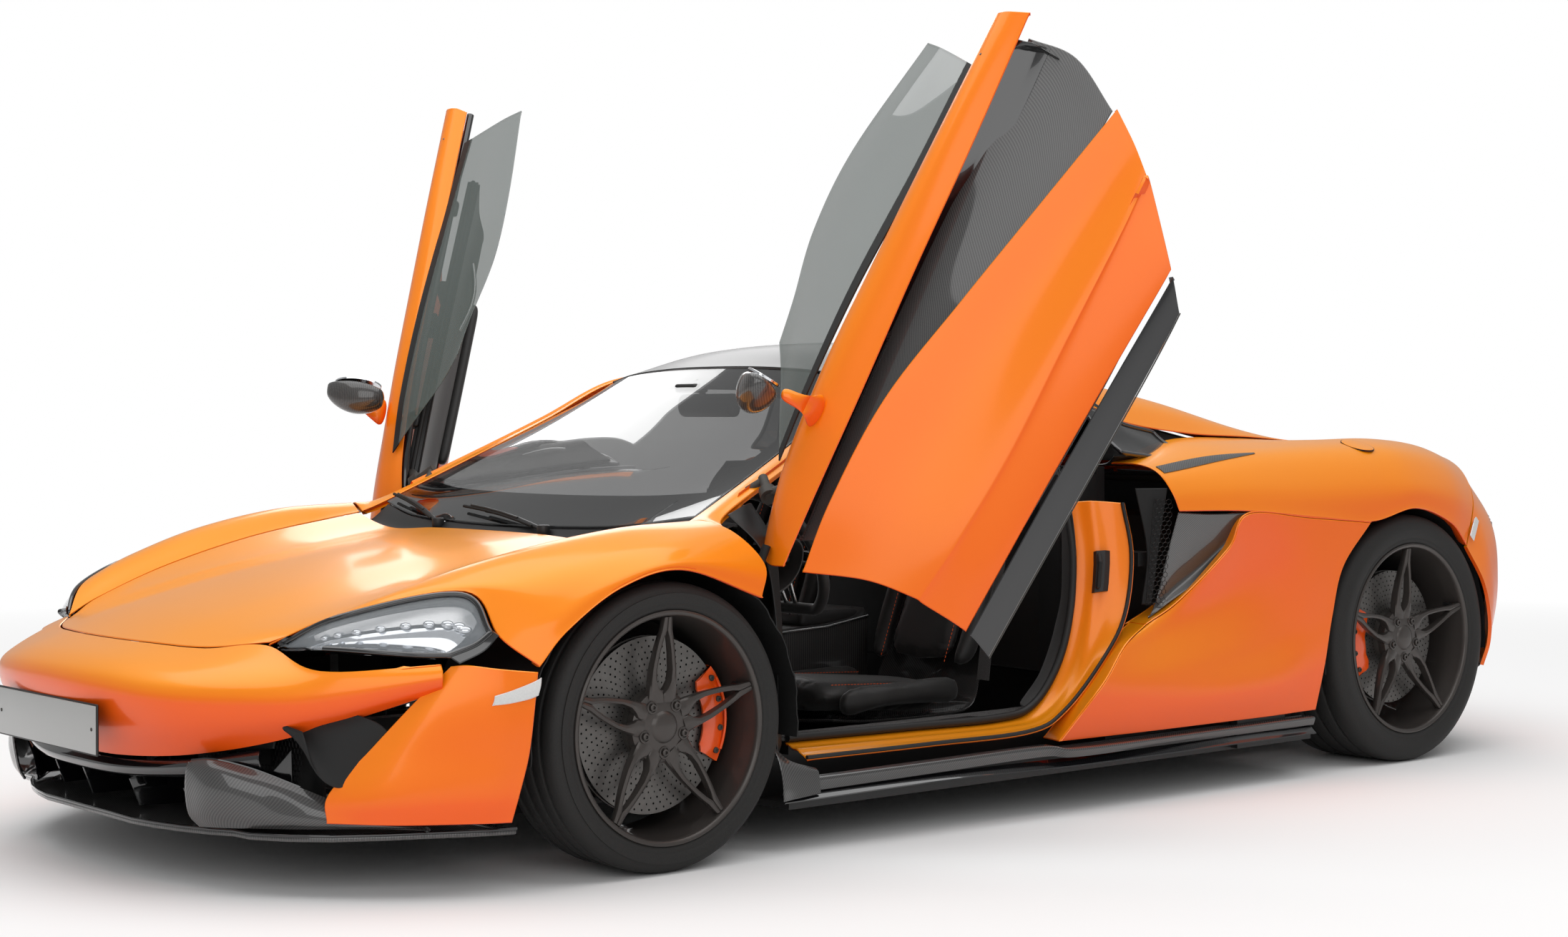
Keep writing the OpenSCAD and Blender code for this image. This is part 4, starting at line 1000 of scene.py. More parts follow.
# %% Glass and roof
screen_rows = [
    [(0, -1052, 728), (240, -1046, 731), (470, -1026, 740), (690, -975, 768)],
    [(0, -820, 878), (230, -812, 878), (440, -785, 880), (640, -725, 884)],
    [(0, -590, 1010), (210, -580, 1008), (410, -555, 1002), (590, -505, 990)],
    [(0, -380, 1128), (200, -372, 1125), (390, -355, 1113), (548, -320, 1088)]]
roof_rows = [
    [(0, -372, 1132), (200, -364, 1129), (390, -347, 1117), (535, -318, 1098)],
    [(0, -150, 1190), (200, -145, 1186), (390, -130, 1170), (545, -110, 1132)],
    [(0, 80, 1200), (200, 82, 1195), (390, 88, 1177), (548, 96, 1134)],
    [(0, 320, 1182), (200, 325, 1176), (390, 340, 1158), (548, 360, 1112)]]
pillar_rows = [
    [(702.6, -1043.4, 743.5), (778, -1026, 764), (867.4, -997.6, 734.4)],
    [(695, -970, 772), (735, -958, 778), (768, -950, 770)],
    [(645, -722, 887), (682, -708, 890), (706, -698, 882)],
    [(595, -503, 993), (630, -488, 994), (650, -478, 986)],
    [(553, -318, 1092), (582, -302, 1092), (600, -290, 1082)],
    [(552, -110, 1130), (580, -100, 1118), (592, -96, 1104)],
    [(554, 96, 1132), (582, 98, 1120), (594, 100, 1106)],
    [(556, 345, 1108), (592, 350, 1090), (612, 352, 1068)]]
screen_grid = trimmed(surface(both_sides(screen_rows), 40, 60), SHUT)
skin("windscreen_glass", screen_grid, SCREEN_GLASS, "body", "glass", thick=0.005, stands_for=["windscreen"])


def border(grid, i0, i1, j0, j1, depth):
    """A strip of the sheet, so far under it."""
    return [[grid[i][j] + inward(grid, i, j) * depth for j in range(j0, j1)] for i in range(i0, i1)]


print_parts = [grid_mesh("frit", border(screen_grid, 0, 8, 0, 61, 0.0056), GLOSS_BLACK),
               grid_mesh("frit", border(screen_grid, 34, 41, 0, 61, 0.0056), GLOSS_BLACK),
               grid_mesh("frit", border(screen_grid, 7, 35, 0, 4, 0.0056), GLOSS_BLACK),
               grid_mesh("frit", border(screen_grid, 7, 35, 57, 61, 0.0056), GLOSS_BLACK)]
frit = joined("windscreen_border", print_parts)
apply_modifier(frit, "SOLIDIFY", thickness=0.0008, offset=-1.0)
settle(frit, "body")
skin("roof_skin", trimmed(surface(both_sides(roof_rows), 36, 60), FIXED), ROOF_BLACK, "body", "carbon",
     thick=0.012,
     stands_for=["roof"])
skins("windscreen_pillar", trimmed(surface(pillar_rows, 90, 16), FIXED), ORANGE, thick=0.018,
      stands_for=["roof"])
cowl = surface(both_sides([
    [(0, -1112, 706), (240, -1107, 704), (480, -1090, 698), (672, -1068, 722)],
    [(0, -1075, 704), (240, -1070, 703), (480, -1052, 702), (674, -1030, 722)],
    [(0, -1046, 724), (240, -1040, 727), (470, -1021, 735), (676, -975, 762)]]), 12, 40)
skin("scuttle_panel", cowl, SATIN_BLACK, "body", "black_plastic", thick=0.004)


wipers = []
for root, tip, rise in (((-0.30, -1.052, 0.718), (-0.66, -0.962, 0.782), 0.012),
                        ((0.20, -1.064, 0.716), (-0.24, -1.006, 0.762), 0.010)):
    a, b = Vector(root), Vector(tip)
    arm = [a + (b - a) * t * 0.72 + Vector((0, 0, rise * math.sin(t * 2.6) + 0.006)) for t in (0, 0.2, 0.4,
        0.6, 0.8, 1.0)]
    wipers.append(pipe("arm", arm, 0.0055, SATIN_BLACK, 3))
    rail = [a + (b - a) * t + Vector((0, -0.004, 0.008 * math.sin(t * 3.1) + 0.006)) for t in (0.12, 0.3, 0.5,
        0.7, 0.9, 1.0)]
    wipers.append(pipe("blade", rail, 0.0042, DEEP_BLACK, 3))
    wipers.append(pipe("spring", [p + Vector((0, 0, 0.006)) for p in rail[1:5]], 0.003, SATIN_BLACK, 3))
    bpy.ops.mesh.primitive_cylinder_add(vertices=24, radius=0.016, depth=0.026, location=(0, 0, 0))
    cap = bpy.context.object
    cap.data.transform(Matrix.Translation(a + Vector((0, 0, 0.006))))
    cap.data.materials.append(SATIN_BLACK)
    apply_modifier(cap, "BEVEL", width=0.003, segments=2)
    wipers.append(cap)
settle(joined("wipers", wipers), "body")
stalk = pipe("stalk", [Vector((0, -0.43, 1.094)), Vector((0, -0.415, 1.072)), Vector((0, -0.402, 1.052))],
             0.008, SATIN_BLACK, 4)
pod = swept([[Vector((x, -0.395 + d * 0.02 + 0.012 * abs(x) / 0.12, 1.028 + 0.034 * k))
              for d, k in ((-1, -0.7), (-1.2, 0), (-1, 0.7), (0, 1), (1, 0.8), (1, -0.8), (0, -1))]
             for x in (-0.115, -0.105, -0.06, 0, 0.06, 0.105, 0.115)], "pod", SATIN_BLACK)
apply_modifier(pod, "SUBSURF", levels=2)
settle(joined("interior_mirror", [stalk, pod,
                                  block("sensor", (-45, -470, 1062), (45, -420, 1086), SATIN_BLACK, 8)]),
                                  "body")

# %% [markdown]
# ## Doors
# A door is modelled shut, then lifted about the slanting hinge line, so the stations stay easy to read.
# The outer skin folds at a crease, a carbon hollow channels air above it, and a separate orange shoulder
# floats over the hollow.

# %% Lifting a door
HINGE = Vector((0.950, -0.912, 0.694))
HINGE_WAY = Vector((0.7518584, -0.3824461, -0.5370698))
RAISED = math.radians(72.66)
LIFT = (Matrix.Translation(HINGE) @ Matrix.Rotation(RAISED, 4, HINGE_WAY)
        @ Matrix.Translation(-HINGE))


def lifted(grid):
    return [[LIFT @ p for p in row] for row in grid]


def on_door(piece):
    """A piece made on the shut left door, raised with it."""
    piece.data.transform(LIFT)
    return piece

# %% Door skins
door_rows = [
    [(925, -938, 645), (932, -880, 510), (940, -860, 400), (939, -861, 366), (930, -866, 255),
     (905, -890, 182)],
    [(928, -760, 673), (932, -710, 520), (948, -702, 392), (947, -700, 358), (935, -700, 258),
     (908, -700, 185)],
    [(924, -500, 683), (926, -475, 525), (950, -471, 390), (949, -470, 356), (938, -470, 262),
     (910, -470, 188)],
    [(916, -220, 645), (922, -200, 515), (952, -192, 404), (951, -190, 372), (940, -190, 264),
     (912, -200, 192)],
    [(916, 60, 601), (926, 70, 495), (954, 72, 412), (953, 68, 388), (942, 10, 264), (914, -70, 196)],
    [(924, 338, 556), (936, 285, 482), (952, 232, 420), (951, 222, 404), (943, 74, 265), (916, 0, 200)]]
shoulder_rows = [
    [(800, -938, 764), (848, -955, 748), (888, -962, 720), (914, -948, 688)],
    [(828, -760, 812), (862, -760, 806), (898, -765, 775), (922, -770, 707)],
    [(836, -500, 850), (868, -500, 846), (902, -500, 815), (922, -500, 735)],
    [(832, -200, 874), (866, -200, 870), (900, -200, 840), (918, -200, 770)],
    [(826, 100, 892), (862, 100, 892), (896, 100, 868), (912, 100, 800)],
    [(822, 400, 908), (860, 410, 912), (890, 420, 890), (906, 440, 840)]]
recess_rows = [
    [(880, -880, 690), (890, -870, 672), (902, -860, 650)],
    [(868, -500, 740), (882, -500, 712), (898, -500, 672)],
    [(855, -100, 778), (872, -100, 712), (892, -90, 618)],
    [(850, 250, 800), (872, 262, 690), (896, 200, 568)],
    [(852, 396, 822), (876, 404, 700), (900, 332, 562)]]
glass_rows = [
    [(690, -500, 990), (730, -570, 940), (800, -665, 880), (846, -730, 838)],
    [(665, -390, 1018), (722, -425, 970), (800, -510, 905), (850, -560, 862)],
    [(618, -215, 1068), (690, -230, 1015), (780, -275, 940), (840, -300, 888)],
    [(608, 0, 1085), (675, 10, 1035), (755, 20, 960), (818, 20, 902)],
    [(625, 315, 1055), (680, 310, 1015), (742, 300, 965), (795, 290, 922)]]
trim_rows = [
    [(826, -800, 760), (845, -800, 600), (868, -800, 420), (872, -800, 275)],
    [(812, -500, 820), (838, -500, 610), (862, -500, 420), (872, -500, 270)],
    [(800, -150, 850), (832, -150, 620), (858, -150, 430), (870, -150, 275)],
    [(790, 170, 868), (828, 160, 630), (852, 90, 450), (866, -20, 300)]]
door_body = "{}_door"
door_grid = surface(door_rows, 60, 50)
orange_part = trimmed([row[:41] for row in door_grid], FIXED)
skins("door_skin", lifted(orange_part), ORANGE, body=door_body, thick=0.010, stands_for=["{}_door_panel"],
      angle=28)
sill_part = [[p + Vector((0.002, 0, 0)) for p in row[41:]] for row in door_grid]
skins("door_sill", lifted(trimmed(sill_part, FIXED)), GLOSS_BLACK, slot="black_gloss", body=door_body,
      thick=0.010)
edge_line = [LIFT @ (row[-1] + Vector((0.003, 0, 0))) for row in door_grid]
pair_up(pipe("left_door_sill_edge", edge_line, 0.0016, CAST_GREY, 3), door_body)
skins("door_shoulder", lifted(trimmed(surface(shoulder_rows, 60, 24), FIXED)), ORANGE, body=door_body,
      thick=0.008,
      stands_for=["{}_door_panel"])
skins("door_hollow", lifted(trimmed(surface(recess_rows, 60, 24), FIXED)), CARBON, slot="carbon",
      body=door_body,
      thick=0.006, stands_for=["{}_door_panel"])
pane = lifted(trimmed(surface(glass_rows, 40, 24), SHUT))
skins("door_pane", pane, SIDE_GLASS, slot="glass", body=door_body, thick=0.005, lip=0.001,
      stands_for=["{}_door_glass"])
belt = [[pane[i][24] + (pane[i][24] - pane[i][22]).normalized() * d for d in (-0.004, 0.012,
    0.026)] for i in range(41)]
skins("door_belt_seal", belt, RUBBER_SEAL, slot="rubber", body=door_body, thick=0.004, lip=0)

# %% Inside of the door
trim_grid = surface(trim_rows, 50, 40)


def trim_at(i, j, depth):
    return trim_grid[i][j] + inward(trim_grid, i, j) * depth


face = [[trim_at(i, j, 0.034 + 0.022 * math.exp(-((j - 15) / 5) ** 2) - 0.020 * math.exp(-((j - 25) / 5) ** 2))
         for j in range(41)] for i in range(51)]
skins("door_lining", lifted(face), LEATHER, slot="leather", body=door_body, thick=0.004,
      stands_for=["{}_door_trim"])
core = [[trim_at(i, j, 0.002) for j in range(41)] for i in range(51)]
skins("door_core", lifted(core), SATIN_BLACK, slot="black_plastic", body=door_body, thick=0.006)
rim_strip = [trim_grid[i][0] for i in range(51)] + [trim_grid[50][j] for j in range(1, 41)] + \
            [trim_grid[i][40] for i in range(49, -1, -1)] + [trim_grid[0][j] for j in range(39, 0, -1)]
between = [[p + Vector((-0.002 - 0.032 * k / 2, 0, 0)) for k in (0, 1, 2)] for p in rim_strip]
edge_band = grid_mesh("left_door_edge", lifted(between), SATIN_BLACK, loop=True)
apply_modifier(edge_band, "SOLIDIFY", thickness=0.003, offset=0.0)
pair_up(edge_band, door_body)
orange_piece = [[trim_at(i, j, 0.062 - 0.012 * ((j - 28) / 8) ** 2) for j in range(21, 37)] for i in range(8,
    34)]
skins("door_lining_insert", lifted(orange_piece), CALIPER, body=door_body, thick=0.003)
rest = swept([[trim_at(i, 17, 0.052) + Vector((x, 0, z)) for x, z in (
    (-0.034, -0.014), (-0.036, 0.008), (-0.020, 0.018), (0.0, 0.014), (0.004, -0.012), (-0.018, -0.020))]
    for i in range(10, 42, 4)], "left_door_armrest", LEATHER)
apply_modifier(rest, "SUBSURF", levels=2)
pair_up(on_door(rest), door_body, angle=60)
pull = pipe("left_door_pull", [trim_at(i, 11,
                                       0.048 + 0.022 * math.sin(math.pi * (i - 30) / 12)) for i in range(30,
                                           43)],
            0.007, SILVER, 4)
pair_up(on_door(pull), door_body)
ring_at = trim_at(9, 30, 0.050)
speaker = turned("left_door_speaker", [(78, 0), (76, 6), (70, 8), (66, 5), (40, 2), (0.01, 6)], SATIN_BLACK,
                 Vector((0, 0, 0)), 48)
speaker.data.transform(LIFT @ Matrix.Translation(ring_at) @ Matrix.Scale(-1, 4, (1, 0, 0)))
speaker.data.flip_normals()
pair_up(speaker, door_body)
seal_path = [p + Vector((-0.018, 0, 0)) for p in rim_strip]
pair_up(on_door(pipe("left_door_seal", seal_path, 0.007, RUBBER_SEAL, 3, cyclic=True)), door_body)

# %% Channel bracket, pads and hinge ring
channel = swept([[Vector((x + dx, y, z + dz)) * MM for dx, dz in ((-16, -14), (-16, 14), (16, 14), (16, -14))]
                 for x, y, z in ((868, 300, 884), (858, 340, 868), (862, 372, 828), (868, 384, 790),
                                 (874, 380, 744))],
                "channel", GLOSS_BLACK)
apply_modifier(channel, "BEVEL", width=0.004, segments=3)
rail = pipe("rail", [row[0] + Vector((-0.006, 0.0, -0.018)) for row in surface(shoulder_rows, 20, 4)],
            0.011, GLOSS_BLACK, 4)
inner_wall = grid_mesh("wall", surface([
    [(866, -560, 812), (856, -560, 760), (868, -560, 726)],
    [(864, -200, 838), (852, -200, 780), (864, -180, 728)],
    [(862, 150, 860), (850, 160, 800), (858, 170, 742)], [(862, 370, 872), (850, 385, 820), (862, 395, 762)]],
    40, 10), GLOSS_BLACK)
apply_modifier(inner_wall, "SOLIDIFY", thickness=0.006, offset=0.0)
pair_up(on_door(joined("left_door_channel", [channel, rail, inner_wall])), door_body)
posts = []
for low, high in (((852, -690, 420), (916, -640, 560)), ((852, 0, 420), (908, 50, 500)),
                  ((806, 60, 836), (882, 108, 862)),
                  ((842, -250, 640), (872, -190, 700)), ((806, -640, 780), (858, -600, 806))):
    posts.append(block("post", low, high, SATIN_BLACK, 8))
ring_line = [HINGE + HINGE_WAY * t * MM for t in (-246, -218)]
ring_piece = pipe("ring", ring_line, 0.021, CAST_GREY, 6)
web = pipe("web", [ring_line[0] * 0.5 + ring_line[1] * 0.5, Vector((0.806, -0.770, 0.762))], 0.014, CAST_GREY,
           5)
pair_up(on_door(joined("left_door_posts", [*posts, ring_piece, web])), door_body)
pin_line = [HINGE + HINGE_WAY * t * MM for t in (-300, -213)]
arm = pipe("arm", [HINGE + HINGE_WAY * -0.291, Vector((0.705, -0.830, 0.826))], 0.009, CAST_GREY, 5)
pair_up(joined("left_hinge_pin", [pipe("pin", pin_line, 0.0117, CAST_GREY, 6), arm]), "body")
strut = pipe("left_door_strut", [Vector((0.868, -0.905, 0.705)), Vector((0.862, -0.925, 0.655)),
                                 Vector((0.842, -0.940, 0.60))],
             0.010, DEEP_BLACK, 4)
pair_up(strut, "body")

# %% Door mirrors
foot = swept([[LIFT @ (Vector(c) * MM + Vector(d) * MM) for d in ring_of] for c, ring_of in (
    ((905, -602, 797), ((2, -62, -14), (10, -40, 12), (8, 20, 26), (2, 62, 8), (-4, 20, -20))),
    ((928, -602, 812), ((4, -46, -12), (10, -24, 8), (6, 24, 14), (0, 42, 0), (-6, 8, -16))),
    ((950, -604, 824), ((6, -28, -10), (12, -10, 4), (6, 22, 8), (-4, 26, 2), (-8, -2, -12))),
    ((964, -606, 850), ((10, -18, -6), (14, 0, 0), (6, 18, 4), (-8, 17, 4), (-10, -6, -4))),
    ((970, -610, 890), ((12, -20, -6), (16, 0, 0), (8, 20, 4), (-10, 18, 4), (-12, -8, -4))))],
    "left_mirror_arm", ORANGE)
apply_modifier(foot, "SUBSURF", levels=2)
pair_up(foot, door_body, ["{}_mirror"], 60)
shell_sections = []
for k in range(15):
    t = k / 14
    x = 884 + 166 * t
    swell = math.sin(math.pi * (0.07 + 0.89 * t)) ** 0.5
    deep, tall_half = 62 * swell, 54 * swell * (1.0 - 0.22 * t)
    middle = Vector((x, -628 + 18 * t, 944 - 6 * t))
    ring_of = []
    for j in range(16):
        a = j * math.tau / 16
        y = -math.cos(a) * deep * (1.1 if math.cos(a) > 0 else 0.36)
        ring_of.append((middle + Vector((0, y, math.sin(a) * tall_half))) * MM)
    shell_sections.append(ring_of)
shell = swept(shell_sections, "shell", CARBON_BLOCK)
apply_modifier(shell, "SUBSURF", levels=1)
glass_face = turned("mirror_face", [(46, -3), (46, 2), (43, 3), (0.01, 3)], CHROME, Vector((0, 0, 0)), 40)
glass_face.data.transform(Matrix.Translation(Vector((965, -596, 940)) * MM) @ Matrix.Rotation(math.radians(90),
    4, "Z")
                          @ Matrix.Diagonal((1, 1.45, 0.88, 1)))
pair_up(on_door(joined("left_mirror_shell", [shell, glass_face])), door_body, ["{}_mirror"], 50)

# %% [markdown]
# ## Door frame and cabin
# The door opening is painted metal with a folded inner edge, two rubber seals and a latch. Inside are a
# carpeted floor, a carbon tub sill, a slim console and a dash with a screen standing on it.

# %% Door opening
jamb_rows = [
    [(795, -790, 236), (845, -795, 226), (885, -800, 206)],
    [(795, -400, 230), (845, -400, 220), (888, -400, 204)],
    [(795, -100, 226), (845, -90, 218), (890, -70, 206)],
    [(795, 20, 246), (848, 45, 240), (892, 60, 252)],
    [(792, 110, 330), (846, 150, 330), (894, 200, 372)],
    [(786, 170, 450), (836, 215, 462), (890, 288, 480)],
    [(770, 205, 620), (822, 255, 630), (872, 335, 632)],
    [(735, 215, 770), (790, 265, 775), (840, 336, 768)]]
jamb = surface(jamb_rows, 100, 24)
fold = [[p + inward(jamb, i, j) * (0.004 * (math.exp(-((j - 7) / 3.2) ** 2) + 0.7 * math.exp(-((j - 15) / 3.0) ** 2)))
         for j, p in enumerate(row)] for i, row in enumerate(jamb)]
skins("door_frame", fold, ORANGE, thick=0.006, stands_for=["door_jambs"])
for k, (column, rise, radius) in enumerate(((1, 0.012, 0.010), (23, 0.003, 0.005))):
    line = [jamb[i][column] - inward(jamb, i, column) * rise for i in range(0, 101, 2)]
    pair_up(pipe(f"left_frame_seal_{k}", line, radius, RUBBER_SEAL, 3), "body", angle=60)


def on_jamb(i, j, rise):
    return jamb[i][j] - inward(jamb, i, j) * rise


latch = swept([[on_jamb(i, j, h) for j, h in ((10, 0.001), (11, 0.012), (14, 0.014),
                                              (16, 0.001))] for i in (78, 80, 84, 87)],
              "latch", SATIN_BLACK)
loop = pipe("loop", [on_jamb(79, 12, 0.008), on_jamb(79, 12, 0.030), on_jamb(84, 12, 0.034),
                     on_jamb(86, 12, 0.012)], 0.006,
            DEEP_BLACK, 4)
pair_up(joined("left_latch", [latch, loop]), "body")
post_cover = surface([
    [(700, 236, 860), (760, 214, 776), (790, 205, 640), (800, 180, 470), (800, 90, 320), (797, 10, 250)],
    [(640, 280, 862), (668, 262, 790), (690, 255, 650), (700, 238, 480), (720, 150, 330), (730, 60, 250)],
    [(600, 340, 862), (622, 330, 790), (630, 320, 650), (640, 300, 480), (680, 200, 340), (700, 90, 250)]], 20,
    50)
skins("rear_post_cover", post_cover, LEATHER, slot="leather", thick=0.004)
front_post = surface([
    [(760, -790, 240), (768, -784, 400), (764, -784, 560), (750, -786, 700), (712, -820, 790)],
    [(800, -806, 236), (810, -808, 400), (806, -812, 560), (790, -820, 700), (736, -850, 798)],
    [(852, -862, 212), (872, -876, 400), (868, -880, 560), (848, -900, 690), (770, -940, 775)]], 16, 40)
skins("front_post_cover", front_post, SATIN_BLACK, slot="black_plastic", thick=0.004)
strip = surface([
    [(736, -800, 236.5), (742, -800, 242), (795, -800, 243)],
    [(736, -400, 236.5), (742, -400, 240), (795, -400, 238)],
    [(736, -140, 236.5), (742, -130, 240), (795, -100, 236)]], 30, 6)
skins("sill_tread", strip, CARBON, slot="carbon", thick=0.003)

# %% Floor, sills and bulkhead
carpet_floor = surface([
    [(112, -852, 330), (350, -852, 330), (606, -852, 330)],
    [(112, -800, 175), (350, -800, 168), (606, -800, 175)],
    [(112, -600, 152), (350, -600, 146), (606, -600, 152)],
    [(112, -200, 146), (350, -200, 143), (606, -200, 146)],
    [(112, 200, 146), (350, 200, 143), (606, 200, 146)], [(112, 370, 150), (350, 370, 148), (606, 370, 150)]],
    60, 24)
skins("floor_carpet", carpet_floor, CARPET, slot="carpet", thick=0.003)
mat = surface([
    [(140, -812, 205), (350, -812, 200), (580, -812, 205)],
    [(140, -740, 163), (350, -740, 158), (590, -740, 163)],
    [(140, -470, 158), (350, -470, 154), (592, -470, 158)],
    [(140, -440, 157), (350, -440, 153), (590, -440, 157)]], 24, 16)
skins("floor_mat", mat, CARPET, slot="carpet", thick=0.004)
sill_side = surface([
    [(612, -850, 150), (614, -850, 215), (640, -850, 236), (738, -850, 238)],
    [(612, -400, 150), (614, -400, 212), (640, -400, 232), (738, -400, 236)],
    [(612, 150, 150), (614, 150, 212), (640, 150, 232), (738, 60, 240)],
    [(612, 300, 150), (614, 300, 212), (640, 300, 240), (730, 180, 300)]], 50, 20)
skins("sill_lining", sill_side, CARPET, slot="carpet", thick=0.004)
back_wall = surface(both_ends([
    [(0, 376, 300), (0, 372, 560), (0, 376, 858)], [(300, 376, 300), (300, 372, 560), (300, 376, 858)],
    [(616, 350, 300), (616, 345, 560), (600, 350, 858)]]), 40, 16)
skin("bulkhead_lining", back_wall, LEATHER, "body", "leather", thick=0.004)
skins("rear_quarter_lining", surface([
    [(548, 345, 1098), (575, 345, 990), (600, 345, 866)],
    [(455, 352, 1104), (455, 362, 990), (455, 372, 866)]], 6, 12),
    LEATHER, slot="leather", thick=0.004)
lining = surface(both_sides([
    [(0, -345, 1108), (200, -338, 1104), (390, -320, 1090), (520, -296, 1072)],
    [(0, -150, 1162), (200, -145, 1158), (390, -130, 1142), (535, -110, 1106)],
    [(0, 80, 1172), (200, 82, 1168), (390, 88, 1150), (538, 96, 1108)],
    [(0, 310, 1154), (200, 312, 1148), (390, 320, 1132), (536, 330, 1090)]]), 20, 40)
skin("headlining", lining, CARPET, "body", "leather", thick=0.003)

# %% Console and dash
side_shape = [(-600, 160), (-602, 300), (-560, 392), (-430, 408), (-250, 420), (-60, 424), (60, 440),
              (98, 470), (100, 160)]
console_core = plate("console_core", [Vector((0, y, z)) * MM for y, z in side_shape], 0.196, LEATHER, 0.016, 4)
settle(console_core, "body", ["console"])
carbon_cheek = plate("cheek_panel", [Vector((0.103, y * MM, z * MM)) for y, z in
                                     ((-585, 225), (-585, 300), (-545, 380), (-300, 404), (90, 436), (90, 250),
                                      (-200, 200))],
                     0.004, CARBON_BLOCK, 0.0015)
line = pipe("cheek_edge", [Vector((0.1065, y * MM, z * MM)) for y, z in
                           ((-590, 222), (-590, 302), (-548, 386), (-430, 402), (-300, 410), (-60, 420),
                            (90, 442))], 0.004, SILVER, 3)
pair_up(joined("left_console_cheek", [carbon_cheek, line]), "body")
top_bits = [block("panel", (-60, -420, 418), (60, -180, 427), GLOSS_BLACK, 4)]
for k in range(3):
    top_bits.append(block("key", (-22, -390 + k * 62, 424), (22, -340 + k * 62, 434), SATIN_BLACK, 4))
top_bits.append(turned("dial", [(24, 0), (24, 14), (20, 18), (0.01, 18)], SILVER, Vector((0, 0, 0)), 40))
top_bits[-1].data.transform(Matrix.Translation((0, -0.455, 0.408)) @ Matrix.Rotation(-math.pi / 2, 4, "Y"))
settle(joined("console_controls", top_bits), "body")
armrest = block("armrest", (-78, -130, 418), (78, 92, 462), LEATHER, 18, 5)
settle(armrest, "body")
dash_rows = [
    [(x, -862 + bow, 640), (x, -858 + bow, 716), (x, -800 + bow, 738), (x, -700 + bow, 724 + hump),
     (x, -632 + bow, 706 + hump),
     (x, -604 + bow, 672), (x, -618 + bow, 620), (x, -668 + bow, 578), (x, -760 + bow, 556)]
    for x, bow, hump in ((0, 0, 0), (150, 0, 0), (235, 0, 10), (345, -2, 34), (455, 0, 10), (540, 8, 0),
                         (606, 30, -6))]
skin("dash_shell", surface(both_ends(dash_rows), 96, 48), LEATHER, "body", "leather", thick=0.005, lip=0,
     stands_for=["dashboard"])
binnacle = surface([
    [(235, -690, 722), (235, -640, 730), (235, -600, 712)],
    [(280, -690, 754), (280, -636, 766), (280, -590, 744)],
    [(345, -690, 766), (345, -634, 780), (345, -584, 756)],
    [(410, -690, 754), (410, -636, 766), (410, -590, 744)],
    [(455, -690, 722), (455, -640, 730), (455, -600, 712)]], 40, 12)
skin("binnacle_hood", binnacle, LEATHER, "body", "leather", thick=0.006)
face_at = block("binnacle_face", (262, -622, 690), (428, -612, 748), GLOSS_BLACK, 6)
settle(face_at, "body")
screen_block = block("dash_screen", (-62, -622, 560), (62, -602, 738), GLOSS_BLACK, 8, 4)
settle(screen_block, "body")
vents = []
for x in (-545, -130, 130, 545):
    vents.append(block("vent", (x - 46, -616, 640), (x + 46, -600, 684), SATIN_BLACK, 8))
    for k in range(4):
        vents.append(block("slat", (x - 38, -606, 647 + k * 9), (x + 38, -594, 650 + k * 9), GLOSS_BLACK, 1, 1))
settle(joined("dash_vents", vents), "body")
stitch_line = [Vector((x, -640, 713)) * MM for x in range(-590, 230, 9)]
stitches = [pipe("stitch", [p, p + Vector((0.0055, 0, 0))], 0.0010, STITCH, 1) for p in stitch_line]
settle(joined("dash_stitching", stitches), "body")
glove = plate("glove_lid", [Vector((x, -0.6015 - (abs(x) - 0.2) * 0.03, z)) for x, z in
                            ((-0.52, 0.600), (-0.18, 0.600), (-0.18, 0.640), (-0.52, 0.640))], 0.004, LEATHER,
                            0.0015)
settle(glove, "body")

# %% Steering wheel and pedals
TILT = Matrix.Translation(Vector((345, -450, 640)) * MM) @ Matrix.Rotation(math.radians(-65), 4, "X")
rim_ring = []
for k in range(72):
    a = k * math.tau / 72
    flat = min(1.0, 0.150 / max(0.178 * math.sin(a), 0.001)) if math.sin(a) > 0.84 else 1.0
    rim_ring.append(Vector((0.178 * math.cos(a), 0.178 * math.sin(a) * flat, 0)))
wheel_rim = pipe("rim", rim_ring, 0.0152, LEATHER, 5, cyclic=True)
spokes = []
for a, broad in ((0, 0.030), (180, 0.030), (90, 0.036)):
    turn = Matrix.Rotation(math.radians(a), 4, "Z")
    for s in (-1, 1):
        spokes.append(plate("spoke", [turn @ Vector(p) for p in (
            (0.030, s * broad * 0.3, 0.004), (0.030, s * broad, 0.004), (0.110, s * broad * 0.75, 0.002),
            (0.170, s * broad * 0.62, 0),
            (0.170, s * broad * 0.30, 0), (0.105, s * broad * 0.36, 0.002))], 0.009, SILVER, 0.003))
boss = turned("boss", [(14, -22), (40, -20), (56, -8), (60, 4), (56, 13), (40, 20), (20, 22), (0.01, 22)],
              LEATHER,
              Vector((0, 0, 0)), 48)
boss.data.transform(Matrix.Rotation(-math.pi / 2, 4, "Y"))
hand_wheel = joined("hand_wheel_rim", [wheel_rim, *spokes, boss])
hand_wheel.data.transform(TILT)
settle(hand_wheel, "hand_wheel", ["steering_wheel"])
column = turned("column_cover", [(12, 2), (11.5, -12), (26, -20), (34, -40), (38, -120), (30, -200),
                                 (12, -230)], SATIN_BLACK,
                Vector((0, 0, 0)), 32)
column.data.transform(TILT @ Matrix.Rotation(-math.pi / 2, 4, "Y"))
stalks = [pipe("stalk", [Vector((s * 0.03, 0, -0.035)), Vector((s * 0.09, -0.01, -0.038)),
                         Vector((s * 0.145, -0.02, -0.036))],
               0.0075, SATIN_BLACK, 4) for s in (-1, 1)]
for made in stalks:
    made.data.transform(TILT)
settle(joined("steering_column", [column, *stalks]), "body")
pedals = []
